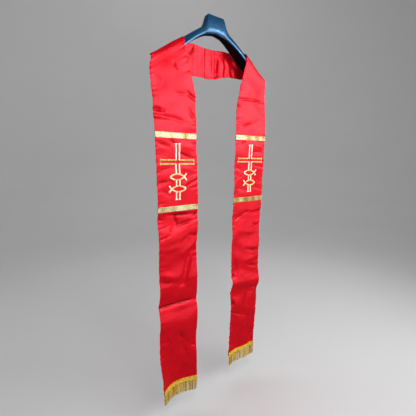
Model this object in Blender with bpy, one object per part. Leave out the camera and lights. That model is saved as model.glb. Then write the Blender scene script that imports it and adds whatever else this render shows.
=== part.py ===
"""Clerical stole hanging on a wide-shouldered coat hanger.

Metres, +Z up. The origin is the middle of the hanger's flat neck top, the viewer is on
the -Y side, and X runs along the hanger. Each half of the stole is one cloth wall: a
front panel, its fold over the hanger's arm, and a strip that goes round behind the neck.
"""
import bpy
import numpy as np

# Cloth
CLOTH = 0.0015            # thickness of the lined satin
GAP = 0.0003              # parting between touching pieces
COLUMNS = 6               # cells across the cloth
SEAT = 0.0016             # middle of the cloth above the arm it lies on
PANEL_PLANE = -0.0235     # y of the flat stretch between the bands
FRONT_TOP = -0.265        # below this height the sections are level
ARM_START = -0.215        # the cloth lies wholly on the arm's section from here up
FLAT_TOP = -0.330         # the panel is flat from here
FLAT_END = -0.588         # down to here
FOLD_FADE = 0.020         # the folds begin within this run below it
ROW_PITCH = 0.0155        # spacing of the level sections
SIDE_SLIP = -0.002        # the stole sits this far to the viewer's left on the hanger
HEM_Z = {"left": -1.1620, "right": -1.1517}
HEM_STEADY = 0.0185       # the last stretch above the hem keeps one section

# Gold trim
BAND_TALL = 0.0161
BAND_THICK = 0.0008
BAND_TOPS = {"left": (-0.3443, -0.5554), "right": (-0.3375, -0.5486)}
HEADING_TALL = 0.0148
HEADING_THICK = 0.0024
HEADING_LAP = 0.0120      # how far the fringe heading climbs above the hem
STRANDS = 44
STRAND_LONG = 0.0455
STRAND_UNEVEN = 0.035     # share of its length by which a strand may fall short
STRAND_BEAT = 1.7         # turn of that unevenness from strand to strand, in radians
STRAND_SWAY = (0.0012, 0.0006, 0.0)
SWAY_BEAT = 2.4
STRAND_TIP = 0.72         # tip width over root width
STRAND_LEVELS = (0.5, 1.0)

# Embroidered cross and fish, flat, about the middle of the crossing
STITCH_WIDE = 0.0040
STITCH_THICK = 0.0010
LINE_APART = 0.0113
ARM_LONG = 0.0565
CROSS_UP = 0.0530
CROSS_DOWN = 0.1110
SERIF_WIDE = 0.0078
SERIF_LONG = 0.0042
FISH_LONG = 0.0450
FISH_TALL = 0.0166
FISH_MID = 0.0025         # the body's middle lies this far toward the nose
FISH_DROPS = (0.0430, 0.0780)
FISH_TAIL = 0.0070        # run of the arcs past their crossing
FISH_LAP = 0.0006         # the cross's lines run this far into the fish's
ARC_STEPS = 14
CROSS_PLACE = {"left": (-0.1440, -0.4270), "right": (0.1440, -0.4205)}

# Hanger
NECK_FLAT = 0.0265
NECK_CROWN = 0.03         # extra rise that is trimmed to make the neck's flat top
ARM_TURN = 0.050
PLATE_LIP = 0.0020
PLATE_DEEP = 0.0022
PLATE_REACH = 0.1870
VESTIGE = 0.00015
RING_STEPS = 12
CORNER_IN, CORNER_OUT = 0.1150, 0.2090
CORNER_FLARE = 0.0072     # the outer edge spreads this far down the front of the arm
ARM_SLOPE = 0.66
STRAIGHT_X = 0.1180       # from here out the arm is straight
STRAIGHT_TOP = -0.0850
SHARP_ANGLE = 50.0        # edges sharper than this are drawn sharp, in degrees

# Hanger stations. Columns: x, top, underside, half depth, squareness of the section
HANGER = np.array([
    (0.0000, 0.0000, -0.0490, 0.0122, 0.50),
    (0.0270, 0.0000, -0.0538, 0.0130, 0.50),
    (0.0294, -0.0014, -0.0546, 0.0132, 0.50),
    (0.0316, -0.0062, -0.0554, 0.0134, 0.50),
    (0.0346, -0.0155, -0.0566, 0.0139, 0.52),
    (0.0400, -0.0285, -0.0590, 0.0148, 0.56),
    (0.0480, -0.0380, -0.0630, 0.0162, 0.60),
    (0.0600, -0.0463, -0.0697, 0.0181, 0.66),
    (0.0750, -0.0560, -0.0790, 0.0200, 0.72),
    (0.0900, -0.0662, -0.0896, 0.0216, 0.80),
    (0.1040, -0.0757, -0.1000, 0.0226, 0.86),
    (STRAIGHT_X, STRAIGHT_TOP, -0.1107, 0.0224, 0.90),
    (0.1600, -0.1127, -0.1372, 0.0186, 0.90),
    (0.1900, -0.1325, -0.1535, 0.0138, 0.90),
])
# Distances from the middle of the further sections drawn between those stations
BETWEEN = (0.0140, 0.0380, 0.0540, 0.0820, 0.1390, 0.1760, PLATE_REACH)
# The arm's rounded tip. Columns: x, scale of the section
TIP = ((0.1940, 0.97), (0.1972, 0.88), (0.1992, 0.74), (0.2002, 0.56))

# Level sections of the front panels. Columns: z, inner |x|, outer |x|
PANEL = {
    "left": np.array([
        (-0.265, 0.0808, 0.2157), (-0.343, 0.0795, 0.2142), (-0.460, 0.0755, 0.2108),
        (-0.560, 0.0725, 0.2097), (-0.660, 0.0750, 0.2100), (-0.770, 0.0765, 0.2108),
        (-0.880, 0.0725, 0.2100), (-0.950, 0.0765, 0.2130), (-1.050, 0.0800, 0.2140),
        (-1.110, 0.0820, 0.2109), (-1.168, 0.0815, 0.2080)]),
    "right": np.array([
        (-0.265, 0.0776, 0.2146), (-0.345, 0.0765, 0.2142), (-0.450, 0.0750, 0.2110),
        (-0.560, 0.0740, 0.2085), (-0.680, 0.0720, 0.2040), (-0.770, 0.0720, 0.2045),
        (-0.870, 0.0748, 0.2100), (-0.955, 0.0750, 0.2050), (-1.010, 0.0730, 0.2020),
        (-1.090, 0.0685, 0.1980), (-1.168, 0.0640, 0.1965)]),
}
# Sections that turn from level to the arm's slope. Columns: inner |x|, z, outer |x|, z, follow,
# where follow is the share of the stole's sideways slip that the section has
SHOULDER = (
    (0.0810, -0.2350, 0.2153, -0.2540, 0.20),
    (0.0860, -0.2100, 0.2154, -0.2435, 0.60),
    (0.0938, -0.1855, 0.2156, -0.2305, 1.00),
    (0.1012, -0.1615, 0.2160, -0.2160, 1.40),
    (0.1080, -0.1390, 0.2163, -0.1990, 1.80),
)
# Drop below the crown of the sections that lie over the front of the arm
FOLD_DROPS = (0.0285, 0.0200, 0.0125, 0.0070, 0.0032, 0.0010, 0.0)
# The same for the first sections behind the crown. Columns: drop, retreat of the outer edge
BACK_DROPS = ((0.0009, 0.0035), (0.0022, 0.0070))
# Sections of the strip behind the neck, with the same columns as the shoulder
BACK = {
    "left": (
        (0.1148, -0.0839, 0.1978, -0.1425, 1.00),
        (0.1146, -0.0842, 0.1958, -0.1487, 1.00),
        (0.1136, -0.0842, 0.1912, -0.1495, 1.00),
        (0.1122, -0.0840, 0.1852, -0.1506, 1.00),
        (0.1102, -0.0836, 0.1775, -0.1534, 1.00),
        (0.1076, -0.0830, 0.1680, -0.1570, 0.95),
        (0.1044, -0.0822, 0.1562, -0.1606, 0.85),
        (0.1004, -0.0812, 0.1428, -0.1638, 0.70),
        (0.0952, -0.0800, 0.1280, -0.1662, 0.50),
        (0.0886, -0.0788, 0.1125, -0.1678, 0.30),
        (0.0806, -0.0779, 0.0970, -0.1687, 0.15),
        (0.0715, -0.0772, 0.0820, -0.1690, 0.05),
        (0.0615, -0.0768, 0.0680, -0.1690, 0.00),
        (0.0510, -0.0770, 0.0545, -0.1685, 0.00),
        (0.0400, -0.0777, 0.0415, -0.1675, 0.00),
        (0.0285, -0.0787, 0.0290, -0.1668, 0.00),
        (0.0170, -0.0799, 0.0170, -0.1665, 0.00),
        (0.0050, -0.0808, 0.0050, -0.1664, 0.00)),
    "right": (
        (0.1148, -0.0839, 0.1978, -0.1425, 1.00),
        (0.1146, -0.0842, 0.1958, -0.1484, 1.00),
        (0.1136, -0.0841, 0.1912, -0.1486, 1.00),
        (0.1122, -0.0837, 0.1852, -0.1488, 1.00),
        (0.1102, -0.0830, 0.1775, -0.1490, 1.00),
        (0.1076, -0.0820, 0.1680, -0.1493, 0.95),
        (0.1044, -0.0806, 0.1562, -0.1496, 0.85),
        (0.1004, -0.0789, 0.1428, -0.1500, 0.70),
        (0.0952, -0.0772, 0.1280, -0.1506, 0.50),
        (0.0886, -0.0758, 0.1125, -0.1504, 0.30),
        (0.0806, -0.0750, 0.0970, -0.1500, 0.15),
        (0.0715, -0.0748, 0.0820, -0.1502, 0.05),
        (0.0615, -0.0752, 0.0680, -0.1522, 0.00),
        (0.0510, -0.0762, 0.0545, -0.1558, 0.00),
        (0.0400, -0.0774, 0.0415, -0.1600, 0.00),
        (0.0285, -0.0786, 0.0290, -0.1644, 0.00),
        (0.0170, -0.0798, 0.0170, -0.1666, 0.00),
        (0.0050, -0.0806, 0.0050, -0.1690, 0.00)),
}
BACK_PLANE = 0.0300       # y of the strip behind the neck
BACK_TURN = (0.0850, 0.1190)   # the strip turns to that plane between these distances
TURN_ROUND = 4            # how square that turn is
SEAM_X = {"left": 0.0080, "right": -0.0150}   # where each half ends behind the neck
SEAM_Z = {"left": (-0.0811, -0.1662), "right": (-0.0806, -0.1697)}
LAP = {"left": 0.0, "right": -(CLOTH + GAP)}  # the right half laps in front of the left
BACK_WAVES = {"left": 0.0012, "right": 0.0030}
WAVE_LONG = 0.038
WAVE_FROM = 0.020
WAVE_RISE = (0.012, 0.030)     # the waves grow and die out between these distances
WAVE_FADE = (0.075, 0.100)
WAVE_TOP = 0.35           # strength of a wave at the strip's upper edge
LAP_FADE = (0.070, 0.110)

# Largest folds. Columns: |x| and z of one end, |x| and z of the other, height toward
# the viewer, half width
FOLDS = {
    "left": (
        (0.215, -0.872, 0.080, -0.879, -0.0085, 0.026),
        (0.215, -0.925, 0.080, -0.945, 0.0050, 0.034),
        (0.205, -0.800, 0.110, -0.785, 0.0045, 0.036),
        (0.129, -0.795, 0.077, -0.679, -0.0045, 0.022),
        (0.210, -0.660, 0.090, -0.628, 0.0040, 0.026),
        (0.205, -1.020, 0.100, -1.035, -0.0030, 0.034)),
    "right": (
        (0.076, -0.628, 0.203, -0.600, -0.0035, 0.018),
        (0.076, -0.856, 0.209, -0.874, 0.0050, 0.022),
        (0.080, -0.905, 0.209, -0.915, -0.0045, 0.026),
        (0.088, -0.830, 0.100, -0.700, -0.0035, 0.020),
        (0.190, -0.735, 0.150, -0.790, 0.0035, 0.024),
        (0.080, -0.985, 0.152, -1.012, -0.0030, 0.018)),
}
# Curl of the section at the hem. Columns: share of the width from the inner edge, y
CURL = {
    "left": np.array([(0.00, -0.0345), (0.20, -0.0260), (0.42, -0.0182), (0.60, -0.0162),
                      (0.76, -0.0200), (0.88, -0.0270), (1.00, -0.0375)]),
    "right": np.array([(0.00, -0.0260), (0.14, -0.0200), (0.30, -0.0172), (0.52, -0.0208),
                       (0.72, -0.0222), (0.87, -0.0202), (1.00, -0.0232)]),
}
CURL_START = -0.960

# Colours and finishes. Columns: colour, roughness, metallic
FINISH = {
    "red satin": ((0.72, 0.012, 0.035), 0.38, 0.0),
    "gold band": ((0.74, 0.62, 0.30), 0.42, 0.7),
    "gold thread": ((0.80, 0.70, 0.36), 0.45, 0.5),
    "gold fringe": ((0.66, 0.40, 0.05), 0.50, 0.4),
    "blue shell": ((0.035, 0.13, 0.23), 0.28, 0.6),
    "black plate": ((0.012, 0.012, 0.013), 0.60, 0.0),
}


def clear_scene():
    """Remove every object the file opens with."""
    for thing in list(bpy.data.objects):
        bpy.data.objects.remove(thing, do_unlink=True)


def finish(name):
    """Principled material with one of the named finishes."""
    colour, roughness, metallic = FINISH[name]
    material = bpy.data.materials.new(name)
    material.use_nodes = True
    shader = material.node_tree.nodes["Principled BSDF"]
    shader.inputs["Base Color"].default_value = (*colour, 1.0)
    shader.inputs["Roughness"].default_value = roughness
    shader.inputs["Metallic"].default_value = metallic
    return material


def add_solid(name, points, faces, look):
    """Make one named object from points and faces."""
    mesh = bpy.data.meshes.new(name)
    mesh.from_pydata([tuple(p) for p in points], [], [tuple(f) for f in faces])
    mesh.validate()
    mesh.materials.append(finish(look))
    mesh.shade_smooth()
    mesh.set_sharp_from_angle(angle=np.radians(SHARP_ANGLE))
    solid = bpy.data.objects.new(name, mesh)
    bpy.context.collection.objects.link(solid)
    return solid


def smooth(x, knots, values):
    """Smooth curve through knots: cubic pieces whose slopes never overshoot the knots."""
    step = np.diff(knots)
    rise = np.diff(values) / step
    slope = np.concatenate([[rise[0]], np.zeros(len(knots) - 2), [rise[-1]]])
    same = rise[:-1] * rise[1:] > 0
    mean = 2 * rise[:-1] * rise[1:] / np.where(same, rise[:-1] + rise[1:], 1.0)
    slope[1:-1] = np.where(same, mean, 0.0)
    x = np.clip(x, knots[0], knots[-1])
    k = np.clip(np.searchsorted(knots, x) - 1, 0, len(step) - 1)
    u = (x - knots[k]) / step[k]
    return ((1 + 2 * u) * (1 - u) ** 2 * values[k] + u * (1 - u) ** 2 * step[k] * slope[k]
            + u * u * (3 - 2 * u) * values[k + 1] - u * u * (1 - u) * step[k] * slope[k + 1])


def ease(x, start, end):
    """0 before start, 1 after end, with soft ends between them."""
    u = np.clip((x - start) / (end - start), 0.0, 1.0)
    return u * u * (3 - 2 * u)


def hanger_at(x, column):
    """One column of the hanger's table at a distance from its middle."""
    reach = np.minimum(np.abs(x), HANGER[-1, 0])
    return smooth(reach, HANGER[:, 0], HANGER[:, column])


def crown(x):
    """Height of the cloth's middle over the arm's ridge."""
    straight = STRAIGHT_TOP - ARM_SLOPE * (np.abs(x) - STRAIGHT_X)
    top = np.where(np.abs(x) > STRAIGHT_X, straight, hanger_at(x, 1))
    return top + SEAT * np.sqrt(1 + ARM_SLOPE ** 2)


def arm_clearance(x, z):
    """Distance in y at which the cloth's middle lies on the arm's half-oval section.

    The section is an oval of the arm's own squareness: half depth times one less the
    share of the height, each raised to its power, so the cloth stands on the ridge at
    the top and hangs straight below the widest line.
    """
    under = hanger_at(x, 2)
    half = hanger_at(x, 3) + SEAT
    square = hanger_at(x, 4)
    share = np.clip((z - under) / (crown(x) - under), 0.0, 1.0)
    return half * (1 - share ** (2 / square)) ** (square / 2)


def fold_relief(side, x, z):
    """Sum of soft troughs and ridges, each a bell across its distance from a line."""
    total = np.zeros_like(x)
    for xa, za, xb, zb, tall, wide in FOLDS[side]:
        along = ((x - xa) * (xb - xa) + (z - za) * (zb - za)) / ((xb - xa) ** 2 + (zb - za) ** 2)
        along = np.clip(along, 0.0, 1.0)
        away = np.hypot(x - xa - along * (xb - xa), z - za - along * (zb - za))
        total += tall * np.exp(-(away / wide) ** 2)
    return total * (1 - ease(z, FLAT_END - FOLD_FADE, FLAT_END))


def section_rows(side):
    """Edge points of every section, hem to the seam behind the neck.

    Columns: inner |x|, z, outer |x|, z, follow, face, where face is -1 in front of the
    arm and +1 behind it.
    """
    table = PANEL[side]
    steady = HEM_Z[side] + HEM_STEADY
    count = int(round((FRONT_TOP - steady) / ROW_PITCH))
    rows = []
    for z in [HEM_Z[side]] + list(np.linspace(steady, FRONT_TOP, count + 1)):
        inner = smooth(z, table[::-1, 0], table[::-1, 1])
        outer = smooth(z, table[::-1, 0], table[::-1, 2])
        rows.append((inner, z, outer, z, 0.0, -1))
    rows += [(*row, -1) for row in SHOULDER]
    for drop in FOLD_DROPS:
        share = drop / FOLD_DROPS[0]
        outer = CORNER_OUT + CORNER_FLARE * np.sqrt(share)
        rows.append((CORNER_IN, crown(CORNER_IN) - drop, outer, crown(outer) - drop, 1 + share, -1))
    for drop, retreat in BACK_DROPS:
        outer = CORNER_OUT - retreat
        rows.append((CORNER_IN, crown(CORNER_IN) - drop, outer, crown(outer) - drop, 1.0, 1))
    rows += [(*row, 1) for row in BACK[side]]
    way = 1 if side == "right" else -1
    end = way * SEAM_X[side]
    rows.append((end, SEAM_Z[side][0], end, SEAM_Z[side][1], 0.0, 1))
    return np.array(rows)


def cloth_middle(side):
    """Grid of points through the middle of one half's cloth, sections by columns."""
    way = 1 if side == "right" else -1
    rows = section_rows(side)
    t = np.linspace(0.0, 1.0, COLUMNS + 1)[None, :]
    follow = rows[:, 4:5]
    reach = rows[:, 0:1] * (1 - t) + rows[:, 2:3] * t + way * SIDE_SLIP * follow
    z = rows[:, 1:2] * (1 - t) + rows[:, 3:4] * t - way * SIDE_SLIP * ARM_SLOPE * follow
    clear = arm_clearance(reach, z)
    front = -clear + (PANEL_PLANE + clear) * (1 - ease(z, FLAT_TOP, ARM_START))
    curl = smooth(np.broadcast_to(t, z.shape).ravel(), CURL[side][:, 0], CURL[side][:, 1])
    steady = HEM_Z[side] + HEM_STEADY
    curled = 1 - ease(np.maximum(z, steady), steady, CURL_START)
    front = front + (curl.reshape(z.shape) - PANEL_PLANE) * curled
    front = front - fold_relief(side, reach, z) * (1 - curled)
    turn = BACK_PLANE * (1 - ease(reach, *BACK_TURN))
    behind = (clear ** TURN_ROUND + turn ** TURN_ROUND) ** (1 / TURN_ROUND)
    behind = np.minimum(behind, BACK_PLANE) + LAP[side] * (1 - ease(reach, *LAP_FADE))
    ripple = np.sin(2 * np.pi * (reach - WAVE_FROM) / WAVE_LONG) * ease(reach, *WAVE_RISE)
    ripple = ripple * (1 - ease(reach, *WAVE_FADE)) * (WAVE_TOP + (1 - WAVE_TOP) * t)
    behind = behind + BACK_WAVES[side] * ripple
    face = rows[:, 5:6]
    return np.stack([way * reach, np.where(face < 0, front, behind), z], axis=2)


def front_normals(middle, side):
    """Unit normals of a grid, toward the viewer on the front panels."""
    along = np.gradient(middle, axis=0)
    across = np.gradient(middle, axis=1)
    way = 1 if side == "right" else -1
    normal = way * np.cross(across, along)
    return normal / np.linalg.norm(normal, axis=2, keepdims=True)


def close_wall(outer, inner, flip):
    """Points and faces of the closed wall between two equal grids."""
    rows, columns = outer.shape[:2]
    points = np.concatenate([outer.reshape(-1, 3), inner.reshape(-1, 3)])
    index = np.arange(rows * columns).reshape(rows, columns)
    far = index + rows * columns
    faces = []
    for grid, turned in ((index, flip), (far, not flip)):
        corners = [grid[:-1, :-1], grid[:-1, 1:], grid[1:, 1:], grid[1:, :-1]]
        quads = np.stack(corners, axis=-1).reshape(-1, 4)
        faces += [tuple(q[::-1]) if turned else tuple(q) for q in quads]
    rim = np.concatenate([index[0, :], index[1:, -1], index[-1, -2::-1], index[-2:0:-1, 0]])
    rim_far = rim + rows * columns
    for k in range(len(rim)):
        n = (k + 1) % len(rim)
        quad = (rim[n], rim[k], rim_far[k], rim_far[n])
        faces.append(quad[::-1] if flip else quad)
    return points, faces


def stole_half(side):
    """One half of the stole as a wall of even thickness."""
    middle = cloth_middle(side)
    lift = front_normals(middle, side) * CLOTH / 2
    points, faces = close_wall(middle + lift, middle - lift, side == "left")
    add_solid("stole_" + side, points, faces, "red satin")
    return middle, lift


def strip_on(middle, lift, top, tall, thick):
    """Grid pair of a level strip on a panel, made from the panel's own columns."""
    hanging = middle[:, 0, 2] <= FRONT_TOP
    face = (middle + lift)[hanging]
    normal = lift[hanging] / (CLOTH / 2)
    rows = []
    for z in (top - tall, top):
        row = []
        for c in range(face.shape[1]):
            base = np.array([np.interp(z, face[:, c, 2], face[:, c, k]) for k in range(3)])
            out = np.array([np.interp(z, face[:, c, 2], normal[:, c, k]) for k in range(3)])
            row.append((base + out * GAP, base + out * (GAP + thick)))
        rows.append(row)
    grid = np.array(rows)
    return grid[:, :, 1], grid[:, :, 0]


def gold_bands(side, middle, lift):
    """Two woven bands across one panel."""
    for place, top in zip(("upper", "lower"), BAND_TOPS[side]):
        outer, inner = strip_on(middle, lift, top, BAND_TALL, BAND_THICK)
        points, faces = close_wall(outer, inner, side == "left")
        add_solid("band_" + place + "_" + side, points, faces, "gold band")


def fringe(side, middle, lift):
    """Braided heading over the hem with strands drawn out of its lower face.

    The heading has two cells for each strand. Every second cell of its lower face runs
    down as a four-sided strand, so heading and strands are one closed body.
    """
    top = HEM_Z[side] + HEADING_LAP
    outer, inner = strip_on(middle, lift, top, HEADING_TALL, HEADING_THICK)
    cells = 2 * STRANDS + 1
    t = np.linspace(0.0, 1.0, cells + 1)
    span = np.linspace(0.0, 1.0, outer.shape[1])

    def resample(line):
        return np.stack([np.interp(t, span, line[:, k]) for k in range(3)], axis=1)

    rings = [resample(inner[1]), resample(outer[1]), resample(outer[0]), resample(inner[0])]
    points = [p for ring in rings for p in ring]
    n = cells + 1
    faces = []
    for a, b in ((0, 1), (1, 2), (3, 0)):
        faces += [(a * n + k, a * n + k + 1, b * n + k + 1, b * n + k) for k in range(cells)]
    faces += [(2 * n + k, 2 * n + k + 1, 3 * n + k + 1, 3 * n + k) for k in range(0, cells, 2)]
    faces.append((0, n, 2 * n, 3 * n))
    faces.append((3 * n + cells, 2 * n + cells, n + cells, cells))
    for strand in range(STRANDS):
        k = 2 * strand + 1
        ring = [2 * n + k, 2 * n + k + 1, 3 * n + k + 1, 3 * n + k]
        root = np.array([points[i] for i in ring])
        centre = root.mean(axis=0)
        sway = np.array(STRAND_SWAY) * np.sin(strand * SWAY_BEAT)
        long = STRAND_LONG * (1 - STRAND_UNEVEN * (1 - np.cos(strand * STRAND_BEAT)))
        for share in STRAND_LEVELS:
            width = 1 - (1 - STRAND_TIP) * share
            level = centre + (root - centre) * width + sway * share - np.array([0, 0, long * share])
            start = len(points)
            points += list(level)
            new = [start, start + 1, start + 2, start + 3]
            faces += [(ring[j], ring[(j + 1) % 4], new[(j + 1) % 4], new[j]) for j in range(4)]
            ring = new
        faces.append(tuple(ring))
    if side == "right":
        faces = [f[::-1] for f in faces]
    add_solid("fringe_" + side, points, faces, "gold fringe")


def ribbon(line, half):
    """Outline of a stroke: its line moved out to both sides by half its width.

    At a corner both sides move out along the bisector, lengthened to a mitre.
    """
    line = np.array(line, dtype=float)
    half = np.broadcast_to(half, len(line))
    run = np.diff(line, axis=0)
    run = run / np.linalg.norm(run, axis=1, keepdims=True)
    before = np.vstack([run[:1], run])
    after = np.vstack([run, run[-1:]])
    side = np.stack([-(before + after)[:, 1], (before + after)[:, 0]], axis=1)
    side = side / np.linalg.norm(side, axis=1, keepdims=True)
    square = np.stack([-before[:, 1], before[:, 0]], axis=1)
    reach = half / np.sum(side * square, axis=1)
    return line + side * reach[:, None], line - side * reach[:, None]


def bar(start, end, corner=None, flare_start=False, flare_end=False):
    """Stroke from start to end, by way of a corner, with flared serifs where asked."""
    line = [np.array(start)] + ([np.array(corner)] if corner else []) + [np.array(end)]
    half = [STITCH_WIDE / 2] * len(line)
    if flare_start:
        way = (line[1] - line[0]) / np.linalg.norm(line[1] - line[0])
        line.insert(1, line[0] + way * SERIF_LONG)
        half = [SERIF_WIDE / 2] + half
    if flare_end:
        way = (line[-2] - line[-1]) / np.linalg.norm(line[-2] - line[-1])
        line.insert(-1, line[-1] + way * SERIF_LONG)
        half = half + [SERIF_WIDE / 2]
    return line, half


def fish_arcs(drop, nose):
    """Two arcs of one radius that meet at the nose and cross at the tail."""
    rise = FISH_TALL / 2
    radius = (FISH_LONG ** 2 / 4 + rise ** 2) / (2 * rise)
    u = np.linspace(-FISH_LONG / 2, FISH_LONG / 2 + FISH_TAIL, ARC_STEPS + 1)
    v = np.sqrt(radius ** 2 - u ** 2) - (radius - rise)
    across = -nose * (u - FISH_MID) if nose > 0 else u - FISH_MID
    return [(np.stack([across, s * v - drop], axis=1), STITCH_WIDE / 2) for s in (1, -1)]


def cross_strokes():
    """Strokes of the embroidery in three groups that don't touch one another."""
    h = LINE_APART / 2
    upper_a = [bar((-ARM_LONG, h), (-h, CROSS_UP), (-h, h), True, True)]
    upper_b = [bar((h, CROSS_UP), (ARM_LONG, h), (h, h), True, True)]
    fish_one, fish_two = FISH_DROPS
    rise = FISH_TALL / 2 - FISH_LAP
    stem = [bar((-ARM_LONG, -h), (-h, -fish_one + rise), (-h, -h), True, False),
            bar((ARM_LONG, -h), (h, -fish_one + rise), (h, -h), True, False)]
    stem += fish_arcs(fish_one, -1) + fish_arcs(fish_two, 1)
    for s in (-h, h):
        stem.append(bar((s, -fish_one - rise), (s, -fish_two + rise)))
        stem.append(bar((s, -fish_two - rise), (s, -CROSS_DOWN), None, False, True))
    return {"arm_a": upper_a, "arm_b": upper_b, "stem": stem}


def stroke_prism(line, half, depth):
    """Closed prism of one stroke, flat in XZ, from y = 0 toward the viewer."""
    left, right = ribbon(line, half)
    count = len(left)
    flat = np.vstack([left, right[::-1]])
    points = [(u, y, v) for y in (0.0, -depth) for u, v in flat]
    total = 2 * count
    faces = []
    for k in range(count - 1):
        a, b, c, d = k, k + 1, total - 2 - k, total - 1 - k
        faces.append((a, b, c, d))
        faces.append((d + total, c + total, b + total, a + total))
    for k in range(total):
        n = (k + 1) % total
        faces.append((n, k, k + total, n + total))
    mesh = bpy.data.meshes.new("stroke")
    mesh.from_pydata(points, [], faces)
    stroke = bpy.data.objects.new("stroke", mesh)
    bpy.context.collection.objects.link(stroke)
    return stroke


def embroidery(side):
    """The outline cross with two fish, lying on one panel's flat stretch."""
    across, height = CROSS_PLACE[side]
    surface = PANEL_PLANE - CLOTH / 2 - GAP
    for name, strokes in cross_strokes().items():
        prisms = [stroke_prism(line, half, STITCH_THICK) for line, half in strokes]
        first = prisms[0]
        for other in prisms[1:]:
            union = first.modifiers.new("join", "BOOLEAN")
            union.operation = "UNION"
            union.object = other
        graph = bpy.context.evaluated_depsgraph_get()
        mesh = bpy.data.meshes.new_from_object(first.evaluated_get(graph))
        points = np.array([v.co for v in mesh.vertices]) + np.array([across, surface, height])
        faces = [tuple(p.vertices) for p in mesh.polygons]
        for stroke in prisms:
            bpy.data.objects.remove(stroke, do_unlink=True)
        add_solid("cross_" + name + "_" + side, points, faces, "gold thread")


def hanger_sections():
    """Stations along the hanger with their sizes, from tip to tip."""
    reach = np.sort(np.concatenate([HANGER[:, 0], BETWEEN]))
    rows = [(x, hanger_at(x, 1), hanger_at(x, 2), hanger_at(x, 3), hanger_at(x, 4)) for x in reach]
    end = rows[-1]
    middle = (end[1] + end[2]) / 2
    for x, scale in TIP:
        drop = ARM_SLOPE * (x - end[0])
        rows.append((x, middle - drop + (end[1] - middle) * scale,
                     middle - drop + (end[2] - middle) * scale, end[3] * scale, end[4]))
    right = np.array(rows)
    left = right[:0:-1] * np.array([-1, 1, 1, 1, 1])
    return np.vstack([left, right])


def hanger():
    """Moulded shell with a recess along its underside, and the plate let into it."""
    rings = []
    plate = []
    angle = np.linspace(0.0, np.pi, RING_STEPS + 1)
    for x, top, under, half, square in hanger_sections():
        rise = 1 + NECK_CROWN * (1 - ease(np.abs(x), NECK_FLAT, ARM_TURN))
        y = half * np.sign(np.cos(angle)) * np.abs(np.cos(angle)) ** square
        z = under + (top - under) * rise * np.abs(np.sin(angle)) ** square
        z = np.minimum(z, top)
        z[[0, -1]] = under
        deep = PLATE_DEEP if abs(x) <= PLATE_REACH else VESTIGE
        lip = half - PLATE_LIP
        foot_y = [-lip, -lip, lip, lip]
        foot_z = [under, under + deep, under + deep, under]
        ring_y = np.concatenate([y, foot_y])
        ring_z = np.concatenate([z, foot_z])
        rings.append(np.stack([np.full(len(ring_y), x), ring_y, ring_z], axis=1))
        if abs(x) <= PLATE_REACH:
            side = lip - GAP
            roof = under + PLATE_DEEP - GAP
            shrink = 1 - GAP / PLATE_REACH
            plate.append(np.array([(x * shrink, -side, under), (x * shrink, -side, roof),
                                   (x * shrink, side, roof), (x * shrink, side, under)]))
    add_loft("hanger_shell", rings, "blue shell", False)
    add_loft("hanger_underside", plate, "black plate", True)


def add_loft(name, rings, look, flip):
    """Closed solid through equal rings, with its two ends filled."""
    count = len(rings[0])
    points = np.concatenate(rings)
    faces = []
    for r in range(len(rings) - 1):
        for k in range(count):
            n = (k + 1) % count
            faces.append((r * count + k, r * count + n, (r + 1) * count + n, (r + 1) * count + k))
    last = (len(rings) - 1) * count
    faces.append(tuple(range(count))[::-1])
    faces.append(tuple(last + k for k in range(count)))
    if flip:
        faces = [f[::-1] for f in faces]
    add_solid(name, points, faces, look)


clear_scene()
hanger()
for half_name in ("left", "right"):
    cloth, cloth_lift = stole_half(half_name)
    gold_bands(half_name, cloth, cloth_lift)
    embroidery(half_name)
    fringe(half_name, cloth, cloth_lift)
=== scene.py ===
# %% [markdown]
# # A clerical stole on a coat hanger
# A stole is a long band of lined satin, worn round the neck with both ends hanging in front.
# This one hangs on a broad-shouldered hanger, so each half is one strip of cloth: it starts at
# the seam behind the neck, folds over the hanger's arm and falls to a fringed hem.
# The CAD model is loaded first as a fixed frame. Everything made here is in metres, +Z up,
# with the origin at the middle of the hanger's neck top and the viewer on the -Y side.

# %% Load the frame
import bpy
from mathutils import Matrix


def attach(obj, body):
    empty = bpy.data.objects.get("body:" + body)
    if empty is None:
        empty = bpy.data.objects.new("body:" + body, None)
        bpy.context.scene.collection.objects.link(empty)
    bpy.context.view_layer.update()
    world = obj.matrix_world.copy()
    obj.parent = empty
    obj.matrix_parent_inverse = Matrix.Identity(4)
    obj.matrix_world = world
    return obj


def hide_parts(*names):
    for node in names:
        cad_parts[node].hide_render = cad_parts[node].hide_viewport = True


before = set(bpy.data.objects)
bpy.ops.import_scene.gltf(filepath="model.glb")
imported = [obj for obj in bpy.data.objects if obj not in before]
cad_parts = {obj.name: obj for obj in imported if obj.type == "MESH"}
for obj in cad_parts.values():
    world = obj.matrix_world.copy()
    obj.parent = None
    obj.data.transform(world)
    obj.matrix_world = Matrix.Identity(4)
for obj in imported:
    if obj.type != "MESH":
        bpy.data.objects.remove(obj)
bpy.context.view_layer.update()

import math
import bpy
import numpy as np
from mathutils import Matrix

# %% [markdown]
# The camera stands low and to the left of the hanging stole, close enough that the nearer
# panel looks larger than the far one. Its three axes are written out from a turn, a tilt and
# a slight roll, so nothing depends on where a helper thinks the picture's middle is.

# %% Camera
CAMERA_AT = np.array([-0.5458, -0.7367, -0.4157])
TURN, TILT, ROLL = 0.6222, 0.1771, 0.0098
FOCAL_PIXELS, PICTURE_PIXELS, SENSOR = 277.17, 416, 36.0


def camera_axes():
    """Right, up and forward of a camera turned about Z, tilted down and rolled."""
    forward = np.array([math.sin(TURN) * math.cos(TILT), math.cos(TURN) * math.cos(TILT),
                        -math.sin(TILT)])
    right = np.array([math.cos(TURN), -math.sin(TURN), 0.0])
    up = np.cross(right, forward)
    return (math.cos(ROLL) * right + math.sin(ROLL) * up,
            math.cos(ROLL) * up - math.sin(ROLL) * right, forward)


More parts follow.
